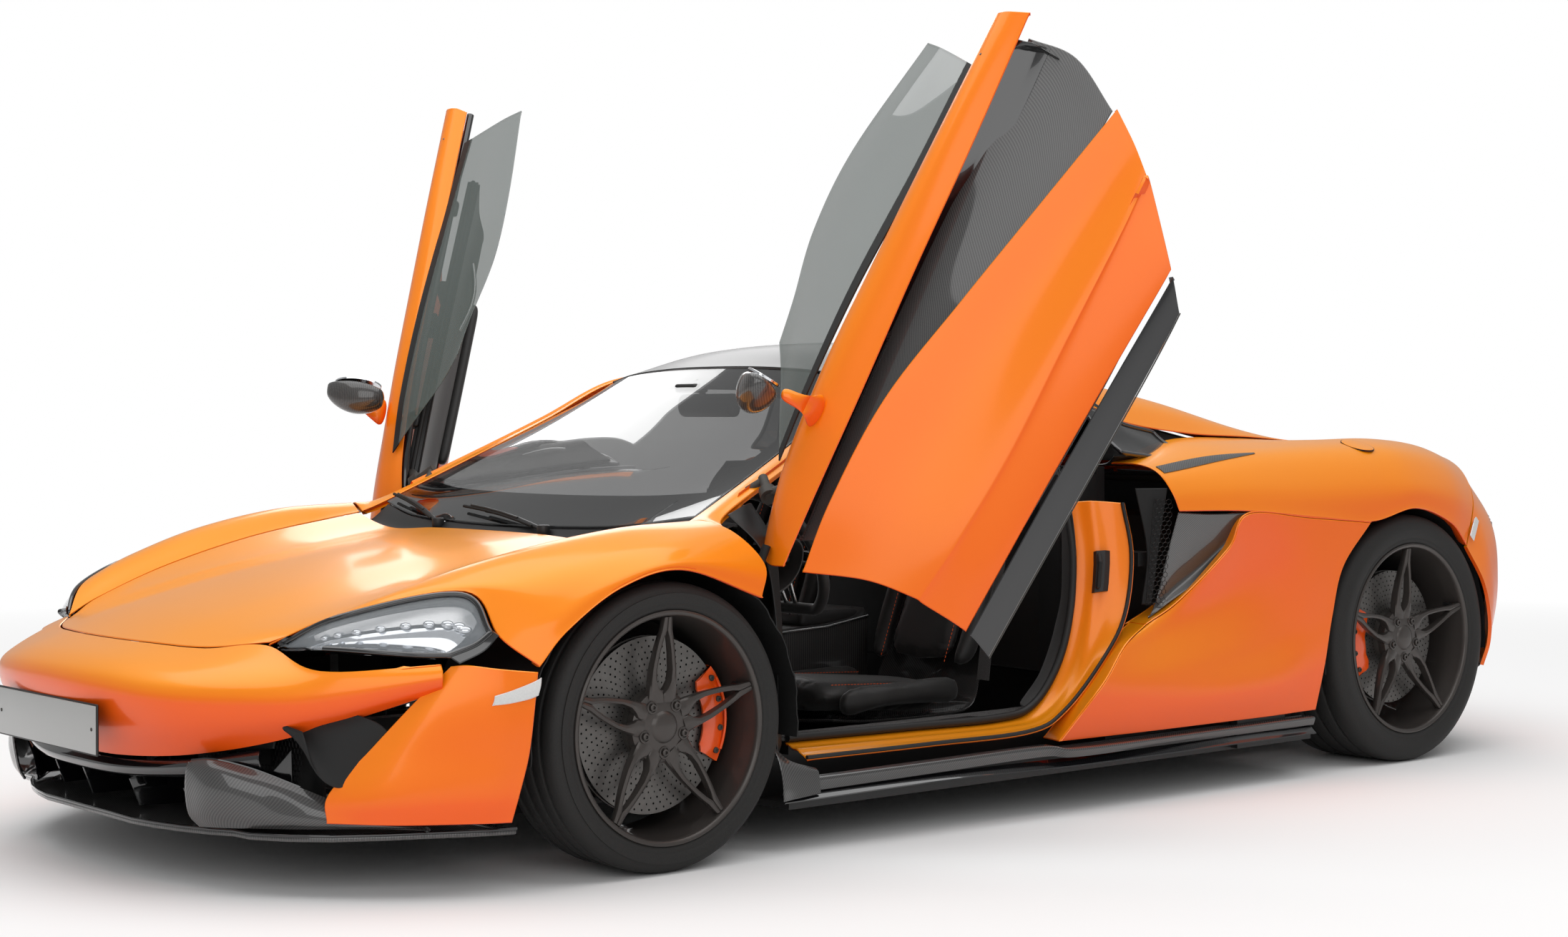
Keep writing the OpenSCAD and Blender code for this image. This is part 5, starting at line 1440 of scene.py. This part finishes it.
for x, wide in ((290, 30), (385, 22)):
    pedals.append(block("pedal", (x - wide, -792, 232), (x + wide, -782, 300), SILVER, 4))
    pedals.append(pipe("pedal_arm", [Vector((x, -790, 290)) * MM, Vector((x, -812, 420)) * MM,
                                     Vector((x, -835, 520)) * MM], 0.007,
                       SATIN_BLACK, 3))
settle(joined("pedals", pedals), "body")

# %% [markdown]
# ## Seats
# Each seat is a slim shell with padded inserts. The pad outlines are grown from stations, then a short
# cloth simulation with pressure inside puffs them, so seams sit low and the middles stand proud.

# %% A padded form
def padded(name, sections, material=LEATHER, puff=0.010, voxel=0.008):
    """A closed soft form: sections swept, remeshed, puffed by cloth pressure, and smoothed once."""
    form = swept([[Vector(p) * MM for p in s] for s in sections], name, material)
    apply_modifier(form, "SUBSURF", levels=1)
    apply_modifier(form, "REMESH", mode="VOXEL", voxel_size=voxel)
    rest = [v.co.copy() for v in form.data.vertices]
    only(form)
    cloth = form.modifiers.new("cloth", "CLOTH")
    cloth.settings.use_pressure = True
    cloth.settings.uniform_pressure_force = 4.0
    cloth.settings.quality = 4
    cloth.settings.effector_weights.gravity = 0.0
    bpy.context.scene.frame_end = 16
    for step in range(1, 17):
        bpy.context.scene.frame_set(step)
    puffed = form.evaluated_get(bpy.context.evaluated_depsgraph_get())
    moved = [v.co.copy() for v in puffed.data.vertices]
    form.modifiers.remove(cloth)
    for vertex, a, b in zip(form.data.vertices, rest, moved):
        step = b - a
        vertex.co = a + step * min(1.0, puff / max(step.length, 1e-6))
    bpy.context.scene.frame_set(1)
    form.data.materials.clear()
    form.data.materials.append(material)
    return form


def oval(width, y, z, depth, tilt=0.0, square=0.7):
    """A rounded section across the seat, in mm, about a middle point."""
    ring = []
    for k in range(14):
        a = k * math.tau / 14
        c, s = math.cos(a), math.sin(a)
        x = width * math.copysign(abs(c) ** square, c)
        d = depth * math.copysign(abs(s) ** square, s)
        ring.append((345 + x, y + d * math.sin(tilt), z + d * math.cos(tilt)))
    return ring


# %% Seat pads and shells
def seat():
    soft = []
    cushion = padded("left_seat_cushion", [oval(*a) for a in (
        (120, -438, 282, 22), (176, -425, 286, 34), (186, -340, 284, 34), (170, -180, 270, 34),
        (160, -40, 258, 34),
        (150, 20, 256, 30), (110, 34, 258, 18))])
    soft.append((cushion, 0.7))
    for s in (-1, 1):
        soft.append((padded(f"left_seat_bolster_{'in' if s < 0 else 'out'}", [
            [(345 + s * (196 + dx), y + dy, z + dz) for dx, dy, dz in (
                (-22, 0, -40), (-26, 0, 10), (-8, 0, 34), (14, 0, 32), (24, 0, 0), (18, 0, -44))]
            for y, z in ((-400, 270), (-330, 284), (-200, 290), (-60, 288), (20, 282))], puff=0.006), 0.7))
    lean = math.atan2(201, 531)
    back_at = [(z, 88.6 + (z - 298.6) * 0.379) for z in (330, 400, 480, 560, 640, 720, 790)]
    pad_widths = (118, 132, 128, 122, 118, 110, 92)
    soft.append((padded("left_seat_back", [oval(w, y - 42, z, 24, math.pi / 2 - lean + math.pi) for w, (z, y) in
                                           zip(pad_widths, back_at)]), 0.6))
    for s in (-1, 1):
        soft.append((padded(f"left_back_bolster_{'in' if s < 0 else 'out'}", [
            [(345 + s * (w + dx), y + dy, z) for dx,
             dy in ((-30, -30), (-14, -66), (10, -74), (26, -50), (28, -10), (0, -2))]
            for w, (z, y) in zip((150, 164, 166, 160, 146, 132, 112), back_at)], puff=0.006), 0.6))
    soft.append((padded("left_head_pad", [oval(w, 88.6 + (z - 298.6) * 0.379 - 34, z, 26,
                                               math.pi / 2 - lean + math.pi)
                                          for w, z in ((84, 790), (104, 812), (104, 846), (80, 868))],
                                          puff=0.005), 0.6))
    for form, fill in soft:
        pair_up(form, "body", ["seats"], 60)


seat()
shell_grid = surface([
    [(150, -420, 236), (345, -440, 224), (540, -420, 236)],
    [(142, -300, 226), (345, -310, 204), (548, -300, 226)],
    [(142, -60, 222), (345, -60, 196), (548, -60, 222)],
    [(146, 60, 236), (345, 88, 222), (544, 60, 236)],
    [(150, 100, 320), (345, 142, 330), (540, 100, 320)],
    [(158, 190, 560), (345, 232, 560), (532, 190, 560)],
    [(190, 262, 740), (345, 300, 740), (500, 262, 740)],
    [(236, 300, 850), (345, 328, 862), (454, 300, 850)]], 56, 24)
skins("seat_shell", shell_grid, CARBON, slot="carbon", thick=0.006, angle=60, stands_for=["seats"])
rails = [block("rail", (345 + x, -380, 141), (345 + x + 20, 0, 180), CAST_GREY, 3) for x in (-150, 130)]
foot_blocks = [block("foot", (345 + x - 6, y, 178), (345 + x + 26, y + 60, 206), CAST_GREY, 4) for x in (-150,
    130) for y in (-340, -80)]
pair_up(joined("left_seat_runners", rails + foot_blocks), "body", ["seats"])
threads = []
for s in (-1, 1):
    for k in range(46):
        z = 345 + k * 10
        y = 88.6 + (z - 298.6) * 0.379 - 70
        w = 124 - max(0, z - 640) * 0.10
        threads.append(pipe("thread", [Vector((345 + s * w, y, z)) * MM,
                                       Vector((345 + s * w, y + 2, z + 6)) * MM], 0.0011, STITCH, 1))
    for k in range(36):
        y = -400 + k * 11
        threads.append(pipe("thread", [Vector((345 + s * 168, y, 318 - k * 0.55)) * MM,
                                       Vector((345 + s * 168, y + 6, 318 - k * 0.55)) * MM],
                            0.0011, STITCH, 1))
pair_up(joined("left_seat_stitching", threads), "body")
for s, x in (("left", 1), ("right", -1)):
    belt = [Vector((x * bx, by, bz)) * MM for bx, by,
            bz in ((508, 330, 800), (500, 250, 700), (520, 180, 560), (548, 120, 420),
                                                             (560, 90, 300))]
    web = grid_mesh(s + "_belt", [[p + Vector((dx * MM, 0, 0)) for dx in (-22, 22)] for p in run(belt, 24)],
                    CARPET)
    apply_modifier(web, "SOLIDIFY", thickness=0.0018, offset=0.0)
    settle(web, "body")

# %% [markdown]
# ## Rear body
# Behind the door the haunch swells over the wheel and a lower quarter wraps the side intake. Buttresses run
# from the pillars to the tail on both sides of a louvred engine cover, and a fixed wing closes the deck.

# %% Haunch and quarter
haunch_rows = [
    [(700, 432, 872), (805, 432, 868), (872, 430, 846), (915, 436, 795), (932, 446, 745)],
    [(672, 700, 930), (780, 700, 905), (862, 700, 873), (925, 702, 805), (948, 706, 738)],
    [(650, 1000, 930), (755, 1000, 915), (858, 1000, 885), (932, 1000, 800), (954, 1000, 712)],
    [(632, 1300, 915), (745, 1300, 922), (862, 1300, 892), (940, 1280, 800), (957, 1235, 695)],
    [(620, 1500, 900), (735, 1500, 924), (866, 1490, 888), (942, 1465, 800), (957, 1435, 726)],
    [(610, 1720, 875), (720, 1720, 906), (850, 1695, 862), (928, 1655, 775), (950, 1610, 680)],
    [(612, 1958, 854), (705, 1921.5, 862), (812, 1870.6, 818), (895, 1800.6, 735), (938, 1705.6, 610)]]
quarter_rows = [
    [(905, 345, 452), (928, 242, 407), (944, 150, 325), (938, 76, 256), (915, 10, 178)],
    [(912, 470, 510), (918, 410, 430), (942, 360, 325), (942, 330, 250), (920, 300, 176)],
    [(935, 640, 640), (918, 640, 500), (936, 620, 350), (944, 600, 256), (924, 580, 176)],
    [(948, 706, 732), (932, 800, 560), (934, 820, 390), (944, 820, 272), (926, 810, 176)],
    [(953, 960, 714), (950, 960, 575), (946, 960, 420), (946, 940, 290), (928, 930, 178)],
    [(957, 1228, 692), (956, 1105, 575), (954, 1058, 440), (950, 1030, 310), (932, 1010, 180)]]
haunch = surface(haunch_rows, 90, 40)
skins("haunch", trimmed(haunch, FIXED), ORANGE, thick=0.006, stands_for=["rear_fenders"])
quarter = surface(quarter_rows, 72, 48)
skins("rear_quarter", trimmed(quarter, FIXED), ORANGE, thick=0.006, stands_for=["rear_fenders"])
inner_lip = [[p, p + Vector((-0.030, 0.004, -0.004)),
              p + Vector((-0.085, 0.012, -0.006))] for p in [r[0] for r in quarter]]
skins("intake_lip", inner_lip, ORANGE, thick=0.003)
leading = [[p, p + Vector((-0.040, 0.012, 0)), p + Vector((-0.075, 0.020, 0))] for p in reversed(quarter[0])]
skins("quarter_front_edge", leading, ORANGE, thick=0.003)
arch_edge = [[row[-1] + Vector((0.001, 0, 0)), row[-1] + Vector((-0.012, 0, 0)),
              row[-1] + Vector((-0.030, 0, 0.010))]
             for row in haunch[42:]]
skins("rear_arch_edge", arch_edge, ORANGE, thick=0.002)
flap_at = haunch[47][17]
out = -inward(haunch, 47, 17)
turn_to = out.to_track_quat("X", "Z").to_matrix().to_4x4()


flap_ring = turned("left_fuel_flap", [(46, 0.4), (46.8, 1.6), (45.6, 2.2), (40, 2.6), (0.01, 3.6)], ORANGE,
                   Vector((0, 0, 0)), 64)
flap_ring.data.transform(Matrix.Translation(flap_at - out * 0.0006) @ turn_to)
settle(flap_ring, "body")
# Painted shade: a near-black ring stands in the gap round the flap for the dark of its shutline.
ring_line = turned("left_fuel_flap_gap", [(46.6, -2), (46.6, 1.0), (48.6, 1.0), (48.6, -2)], DEEP_BLACK,
                   Vector((0, 0, 0)), 64)
ring_line.data.transform(Matrix.Translation(flap_at - out * 0.0006) @ turn_to)
settle(ring_line, "body")
print("haunch spans", [round(v, 2) for v in haunch[0][0]], "to", [round(v, 2) for v in haunch[-1][-1]])

# %% Buttress, wing and engine cover
deck_rows = [
    [(556, 350.5, 1108), (570.8, 352.8, 1101.5), (585, 355, 1094), (602, 356.8, 1081), (612, 357.5, 1068)],
    [(421.4, 600, 1030), (432, 560, 1062), (520, 540, 1082), (600, 520, 1048), (660, 500, 985)],
    [(427, 820, 980), (440, 820, 1012), (530, 810, 1030), (602, 800, 1005), (665, 790, 945)],
    [(435, 1100, 926), (450, 1100, 950), (530, 1100, 962), (600, 1100, 950), (645, 1100, 932)],
    [(444, 1400, 880), (460, 1400, 898), (530, 1400, 902), (590, 1400, 904), (623, 1400, 911)],
    [(453, 1700, 852), (470, 1700, 856), (530, 1700, 858), (575, 1700, 866), (608, 1700, 880)],
    [(463, 2001, 851), (480, 2006, 852), (525, 1995, 852), (562, 1979, 852), (600, 1960, 853)]]
wing_rows = [
    [(0, 1561, 862), (200, 1561, 862), (448.5, 1561, 862)],
    [(0, 1800, 846), (220, 1800, 846), (456.6, 1790, 845)],
    [(0, 2034, 858), (240, 2026, 856), (462, 2001, 851)]]
deck = surface(deck_rows, 90, 32)
skins("buttress", trimmed(deck, FIXED), ORANGE, thick=0.006, stands_for=["rear_deck"])
skin("rear_wing", trimmed(surface(both_sides(wing_rows), 30, 60), FIXED), ORANGE, "body", "orange_paint",
     thick=0.010,
     stands_for=["rear_deck"])
window = surface([
    [(612, 360, 1066), (700, 388, 958), (770, 398, 900)], [(634, 450, 1022), (700, 462, 952), (760, 480, 892)],
    [(662, 510, 978), (706, 540, 934), (748, 560, 886)], [(664, 640, 952), (690, 660, 922), (728, 690, 892)]],
    30, 16)
skins("quarter_window", trimmed(window, FIXED), SCREEN_GLASS, slot="glass", thick=0.004)
surround = ([row[0] for row in window] + window[-1][1:] + [row[-1] for row in reversed(window[:-1])]
            + list(reversed(window[0][:-1])))
pair_up(pipe("left_quarter_frame", [p + Vector((0.001, 0, -0.001)) for p in surround], 0.006, GLOSS_BLACK, 4,
             cyclic=True), "body",
        angle=60)
tray = surface([
    [(742, 402, 886), (690, 430, 866), (640, 440, 860)], [(742, 560, 884), (690, 560, 862), (600, 560, 860)],
    [(728, 696, 888), (684, 700, 870), (600, 700, 862)]], 10, 10)
skins("quarter_shelf", tray, SATIN_BLACK, slot="black_plastic", thick=0.004)
cover_rows = [
    [(0, 600, 1030), (200, 600, 1030), (421, 600, 1025)], [(0, 900, 962), (200, 900, 962), (429, 900, 960)],
    [(0, 1240, 900), (200, 1240, 900), (439, 1240, 898)], [(0, 1560, 862), (200, 1560, 862), (449, 1560, 862)]]
cover = trimmed(surface(both_sides(cover_rows), 64, 44), FIXED)


def louvre(i, j):
    """How deep the cover dips: nine slats, flat at the rim."""
    inside = 6 < i < 60 and 6 <= j <= 38
    return 0.022 * ((i - 6) % 6) / 6 if inside else 0.0


slatted = [[p + Vector((0, 0, -louvre(i, j))) for j, p in enumerate(row)] for i, row in enumerate(cover)]
skin("louvred_cover", slatted, SATIN_BLACK, "body", "carbon", thick=0.005, stands_for=["engine_cover"],
     angle=25)
mesh_cover = honeycomb("cover_mesh", lambda u,
                       v: Vector((-0.30 + 0.60 * u, 0.68 + 0.80 * v, 0.994 - 0.136 * v)), 0.6, 0.8, 0.016,
                       0.002,
                       DEEP_BLACK)
settle(mesh_cover, "body")
engine_parts = [block("airbox", (-250, 640, 702), (250, 900, 760), SATIN_BLACK, 20, 4)]
for k in range(4):
    for s in (-1, 1):
        engine_parts.append(pipe("runner",
                                 [Vector((s * 60, 700 + k * 55, 765)) * MM,
                                  Vector((s * 150, 700 + k * 55, 790)) * MM,
                                            Vector((s * 240, 700 + k * 55, 730)) * MM], 0.017, CAST_GREY, 5))
engine_parts.append(block("brace", (-380, 1000, 800), (380, 1040, 822), CAST_GREY, 8))
settle(joined("engine_dressing", engine_parts), "body")
rear_pane = surface(both_ends([
    [(0, 341, 1116), (0, 379, 1000), (0, 396, 900), (0, 396, 861)],
    [(436, 341, 1110), (436, 379, 1000), (436, 396, 900), (436, 396, 861)]]),
    16, 20)
skin("rear_pane", rear_pane, SCREEN_GLASS, "body", "glass", thick=0.005, stands_for=["rear_glass"])

# %% [markdown]
# ## Side intake, sill and wheel arches
# Air for the engine enters behind the door over a carbon vane, through a hexagonal mesh. A carbon skirt
# flares out at its front end, and ribbed plastic liners fill the wheel arches.

# %% Side intake
vane = surface([
    [(930, 452, 742), (905, 440, 640), (884, 420, 520), (888, 380, 466)],
    [(936, 560, 735), (905, 540, 645), (886, 500, 556), (896, 440, 500)],
    [(944, 650, 733), (918, 640, 672), (900, 600, 610), (912, 540, 556)],
    [(948, 700, 733), (936, 700, 705), (930, 690, 680), (932, 668, 655)]], 50, 36)
skins("intake_vane", [[p + Vector((-0.006, 0.0, 0)) for p in row] for row in vane], CARBON, slot="carbon",
      thick=0.005,
      stands_for=["side_intakes"])
throat = surface([
    [(862, 352, 806), (858, 400, 640), (852, 385, 500)], [(900, 436, 806), (878, 424, 640), (868, 408, 500)]],
    10, 24)
skins("intake_throat", throat, DEEP_BLACK, slot="black_plastic", thick=0.004, stands_for=["side_intakes"])


def intake_point(u, v):
    top, bottom = Vector((884, 400, 780)), Vector((868, 384, 500))
    p = bottom + (top - bottom) * v + Vector((26 * u, 46 * u, 0))
    return p * MM


pair_up(honeycomb("left_intake_mesh", intake_point, 0.05, 0.28, 0.013, 0.0022, SATIN_BLACK), "body")
strip_at = [[haunch[i][16 + k] - inward(haunch, i, 16 + k) * 0.0025 for k in range(0, 6)] for i in range(1, 24)]
skins("haunch_vane", [[row[k].lerp(row[2], (n / 22) ** 2 * 0.9) for k in range(6)] for n,
                      row in enumerate(strip_at)], CARBON,
      slot="carbon", thick=0.003, lip=0)

# %% Skirts and arch liners
skirt_rows = [
    [(895, -880, 170), (905, -885, 158), (900, -885, 132)],
    [(897, -400, 174), (915, -400, 166), (912, -400, 140)],
    [(900, -60, 176), (922, -60, 172), (922, -60, 146)], [(912, 40, 168), (945, 60, 160), (938, 60, 138)],
    [(918, 500, 166), (942, 500, 160), (935, 500, 140)], [(922, 990, 168), (945, 990, 164), (940, 990, 142)]]
skirt = surface(skirt_rows, 90, 16)
skins("side_skirt", skirt, CARBON, slot="carbon", thick=0.006, stands_for=["side_skirts"])
lower_skirt = surface([
    [(892, -885, 134), (902, -888, 126), (912, -890, 116)],
    [(900, -400, 140), (912, -400, 130), (922, -400, 122)],
    [(912, 60, 138), (930, 60, 128), (946, 60, 120)], [(930, 600, 140), (940, 600, 130), (952, 600, 121)],
    [(932, 985, 142), (942, 985, 132), (954, 985, 122)]], 60, 8)
skins("skirt_blade", lower_skirt, GLOSS_BLACK, slot="black_gloss", thick=0.004)
flare = surface([
    [(884, -905, 250), (906, -902, 214), (918, -900, 168), (924, -902, 122)],
    [(890, -860, 212), (906, -860, 190), (912, -858, 160), (916, -858, 124)],
    [(892, -780, 186), (904, -780, 178), (908, -780, 160), (912, -780, 128)]], 20, 20)
skins("skirt_flare", flare, CARBON, slot="carbon", thick=0.005)


def arch(name, centre, r, x0, x1, start, sweep):
    """A liner with shallow ribs, wrapped round the top of a wheel."""
    rows = []
    for k in range(73):
        a = math.radians(start + sweep * k / 72)
        rib = 0.004 * (k % 6 < 3)
        rows.append([Vector((x * MM, centre.y + (r * MM + rib) * math.cos(a),
                             centre.z + (r * MM + rib) * math.sin(a)))
                     for x in (x0, x0 + (x1 - x0) * 0.33, x0 + (x1 - x0) * 0.66, x1)])
    liner = grid_mesh(name, rows, DEEP_BLACK)
    apply_modifier(liner, "SOLIDIFY", thickness=0.003, offset=0.0)
    pair_up(liner, "body", ["wheel_housings"], 25)


arch("left_front_liner", FRONT, 366, 640, 930, -8, 196)
arch("left_rear_liner", REAR, 378, 640, 925, -8, 200)
for name, centre, r, deep in (("left_front_arch_wall", FRONT, 366, 560),
                              ("left_rear_arch_wall", REAR, 378, 638)):
    rows = [[Vector((deep * MM, centre.y + q * MM * math.cos(a), centre.z + q * MM * math.sin(a))) for q in (r,
        r - 90, r - 180)]
            for a in [math.radians(-8 + 196 * k / 40) for k in range(41)]]
    wall = grid_mesh(name, rows, DEEP_BLACK)
    apply_modifier(wall, "SOLIDIFY", thickness=0.003, offset=0.0)
    pair_up(wall, "body", ["wheel_housings"], 40)
front_lip = [[p, p + Vector((-0.010, 0, 0.0)), p + Vector((-0.030, 0, 0.006))] for p in
             [r[-1] for r in surface(fender_rows, 56, 40)]]
skins("front_arch_edge", front_lip, ORANGE, thick=0.002)

# %% [markdown]
# ## Tail
# The tail wraps round in one panel with a wide dark mouth. A mesh fills the mouth, thin red lamps curl
# round its two ends, the exhausts leave low in the middle, and a finned diffuser closes the floor.

# %% Tail panel and grille
tail_rows = [
    [(935.7, 1710.7, 605.1), (950, 1776, 500), (952, 1806, 400), (946, 1812, 320), (930, 1800, 250)],
    [(893, 1806, 730), (915, 1850, 600), (918, 1875, 470), (910, 1872, 360), (890, 1850, 255)],
    [(810, 1876, 812), (850, 1965, 650), (850, 1990, 500), (840, 1980, 375), (820, 1950, 262)],
    [(705, 1926, 855), (745, 2065, 690), (745, 2085, 530), (735, 2070, 395), (715, 2035, 270)],
    [(520, 2010, 850), (540, 2175, 715), (540, 2180, 560), (530, 2160, 425), (515, 2120, 280)],
    [(260, 2040, 858), (265, 2235, 730), (265, 2235, 580), (260, 2210, 440), (255, 2170, 290)],
    [(0, 2050, 860), (0, 2265, 735), (0, 2255, 585), (0, 2225, 445), (0, 2185, 290)]]
whole_tail = tail_rows + [[(-x, y, z) for x, y, z in row] for row in reversed(tail_rows[:-1])]
tail = surface(whole_tail, 144, 72)
mouth = [(-700, 770), (700, 770), (800, 660), (640, 440), (300, 420), (-300, 420), (-640, 440), (-800, 660)]


def in_mouth(p):
    inside = False
    for (x0, z0), (x1, z1) in zip(mouth, mouth[1:] + mouth[:1]):
        if (z0 > p.z / MM) != (z1 > p.z / MM) and p.x / MM < (x1 - x0) * (p.z / MM - z0) / (z1 - z0) + x0:
            inside = not inside
    return inside


def tail_sheet(name, grid, keep, material, thick, stands_for=()):
    """The tail's sheet with the faces that are not kept taken away."""
    piece = grid_mesh(name, grid, material)
    only(piece)
    bpy.ops.object.mode_set(mode="EDIT")
    bpy.ops.mesh.select_mode(type="FACE")
    bpy.ops.mesh.select_all(action="DESELECT")
    bpy.ops.object.mode_set(mode="OBJECT")
    for face in piece.data.polygons:
        face.select = not keep(face.center)
    bpy.ops.object.mode_set(mode="EDIT")
    bpy.ops.mesh.delete(type="FACE")
    bpy.ops.mesh.select_mode(type="VERT")
    bpy.ops.object.mode_set(mode="OBJECT")
    apply_modifier(piece, "SOLIDIFY", thickness=thick, offset=-1.0)
    return settle(piece, "body", stands_for)


def round_pipes(p):
    return min((Vector((s * 0.09, 0, 0.33)) - Vector((p.x, 0, p.z))).length for s in (-1, 1)) > 0.060


tail_sheet("tail_panel", tail, lambda p: not in_mouth(p) and round_pipes(p), ORANGE, 0.010,
           ["rear_bumper"])
back = [[p + inward(tail, i, j) * 0.036 for j, p in enumerate(row)] for i, row in enumerate(tail)]
tail_sheet("tail_mouth_back", back, lambda p: 0.40 < p.z < 0.80, DEEP_BLACK, 0.004)
bars = []
for k in range(1, 12):
    z = 0.43 + k * 0.028
    line = []
    for i in range(24, 121, 3):
        row = tail[i]
        j = min(range(73), key=lambda q: abs(row[q].z - z))
        p = row[j] + inward(tail, i, j) * 0.022
        if in_mouth(p):
            line.append(Vector((p.x, p.y, z)))
    if len(line) > 2:
        bars.append(pipe("slat", line, 0.0035, SATIN_BLACK, 3))
settle(joined("tail_slats", bars), "body", ["tail_grille"])
rim_points = []
for (x0, z0), (x1, z1) in zip(mouth, mouth[1:] + mouth[:1]):
    for k in range(24):
        x, z = x0 + (x1 - x0) * k / 24, z0 + (z1 - z0) * k / 24
        near = min((p for row in tail for p in row), key=lambda p: (p.x / MM - x) ** 2 + (p.z / MM - z) ** 2)
        rim_points.append(Vector((x * MM, near.y - 0.004, z * MM)))
settle(pipe("tail_mouth_edge", rim_points, 0.006, GLOSS_BLACK, 4, cyclic=True), "body", angle=60)
lamp_line = []
for x, z in ((500, 744), (600, 742), (680, 735), (728, 706), (756, 668), (742, 630), (700, 590), (660, 556),
             (620, 530)):
    near = min((p for row in tail for p in row), key=lambda p: (p.x / MM - x) ** 2 + (p.z / MM - z) ** 2)
    lamp_line.append(Vector((x * MM, near.y - 0.010, z * MM)))
pair_up(pipe("left_tail_lamp", run(lamp_line, 40), 0.0085, TAIL_RED, 5), "body", ["tail_lamps"], 60)
rear_marker = surface([
    [(938, 1716, 640), (943, 1728, 622)], [(922, 1752, 668), (927, 1764, 650)],
    [(900, 1796, 694), (906, 1806, 676)]], 12, 4)
skins("rear_marker", [[p + Vector((0.004, 0.004, 0)) for p in row] for row in rear_marker], MARKER,
      slot="lamp_lens", thick=0.003)
recess = block("rear_plate_back", (-262, 2178, 450), (262, 2184, 562), SATIN_BLACK, 3)
settle(recess, "body")
settle(block("rear_plate_blank", (-256, 2183, 454), (256, 2187, 558), PLATE_FACE, 4, 3), "body")

# %% Exhausts, diffuser and floor
for side, x in (("left", 0.09), ("right", -0.09)):
    tube = turned(side + "_tailpipe", [(36, 900), (45, 900), (46.5, 60), (46, 6), (47.5, 1), (49.5, 2),
                                       (50, 8), (49.5, 60), (49, 900),
                                       (36, 900)], CAST_GREY, Vector((0, 0, 0)), 64)
    tube.data.transform(Matrix.Translation((x, 2.231, 0.330)) @ Matrix.Rotation(-math.pi / 2, 4, "Z"))
    settle(tube, "body", ["exhausts"])
fins = []
for k in range(-4, 5):
    x = k * 118 * MM
    fins.append(plate("fin", [Vector((x, y * MM, z * MM)) for y, z in
                              ((1850, 98), (2090, 216), (2120, 226), (2130, 190), (2080, 120), (1960, 92),
                               (1850, 90))], 0.007,
                      CARBON_BLOCK, 0.002))
ramp = surface(both_ends([
    [(0, 1842, 108), (0, 1960, 166), (0, 2090, 231), (0, 2130, 248)],
    [(556, 1842, 108), (556, 1960, 166), (556, 2090, 231), (556, 2120, 248)]]),
    20, 12)
skin("diffuser_ramp", [list(reversed(row)) for row in ramp], CARBON, "body", "carbon", thick=0.010,
     stands_for=["diffuser"])
settle(joined("diffuser_fins", fins), "body")
valance = surface(both_ends([
    [(0, 2182, 292), (0, 2176, 262), (0, 2150, 244)], [(260, 2168, 292), (258, 2160, 264), (258, 2134, 244)],
    [(515, 2118, 282), (512, 2110, 262), (508, 2090, 244)],
    [(715, 2033, 272), (708, 2022, 256), (700, 2000, 244)],
    [(820, 1948, 264), (812, 1938, 250), (800, 1916, 240)],
    [(890, 1848, 257), (880, 1840, 244), (868, 1830, 236)]]), 80, 8)
skin("tail_valance", valance, SATIN_BLACK, "body", "black_plastic", thick=0.005)

# %% [markdown]
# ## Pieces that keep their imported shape
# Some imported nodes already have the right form: the tub, the floor, the suspension arms and the engine
# block. They take a finish of their own. Where a detailed piece stands for a node, that node is hidden.

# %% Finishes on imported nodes
for node, finish in (("tub", SATIN_BLACK), ("undertray", SATIN_BLACK), ("suspension", CAST_GREY),
                     ("engine_block", CAST_GREY)):
    keeper = bpy.data.objects[node]
    keeper.data.materials.clear()
    keeper.data.materials.append(finish)
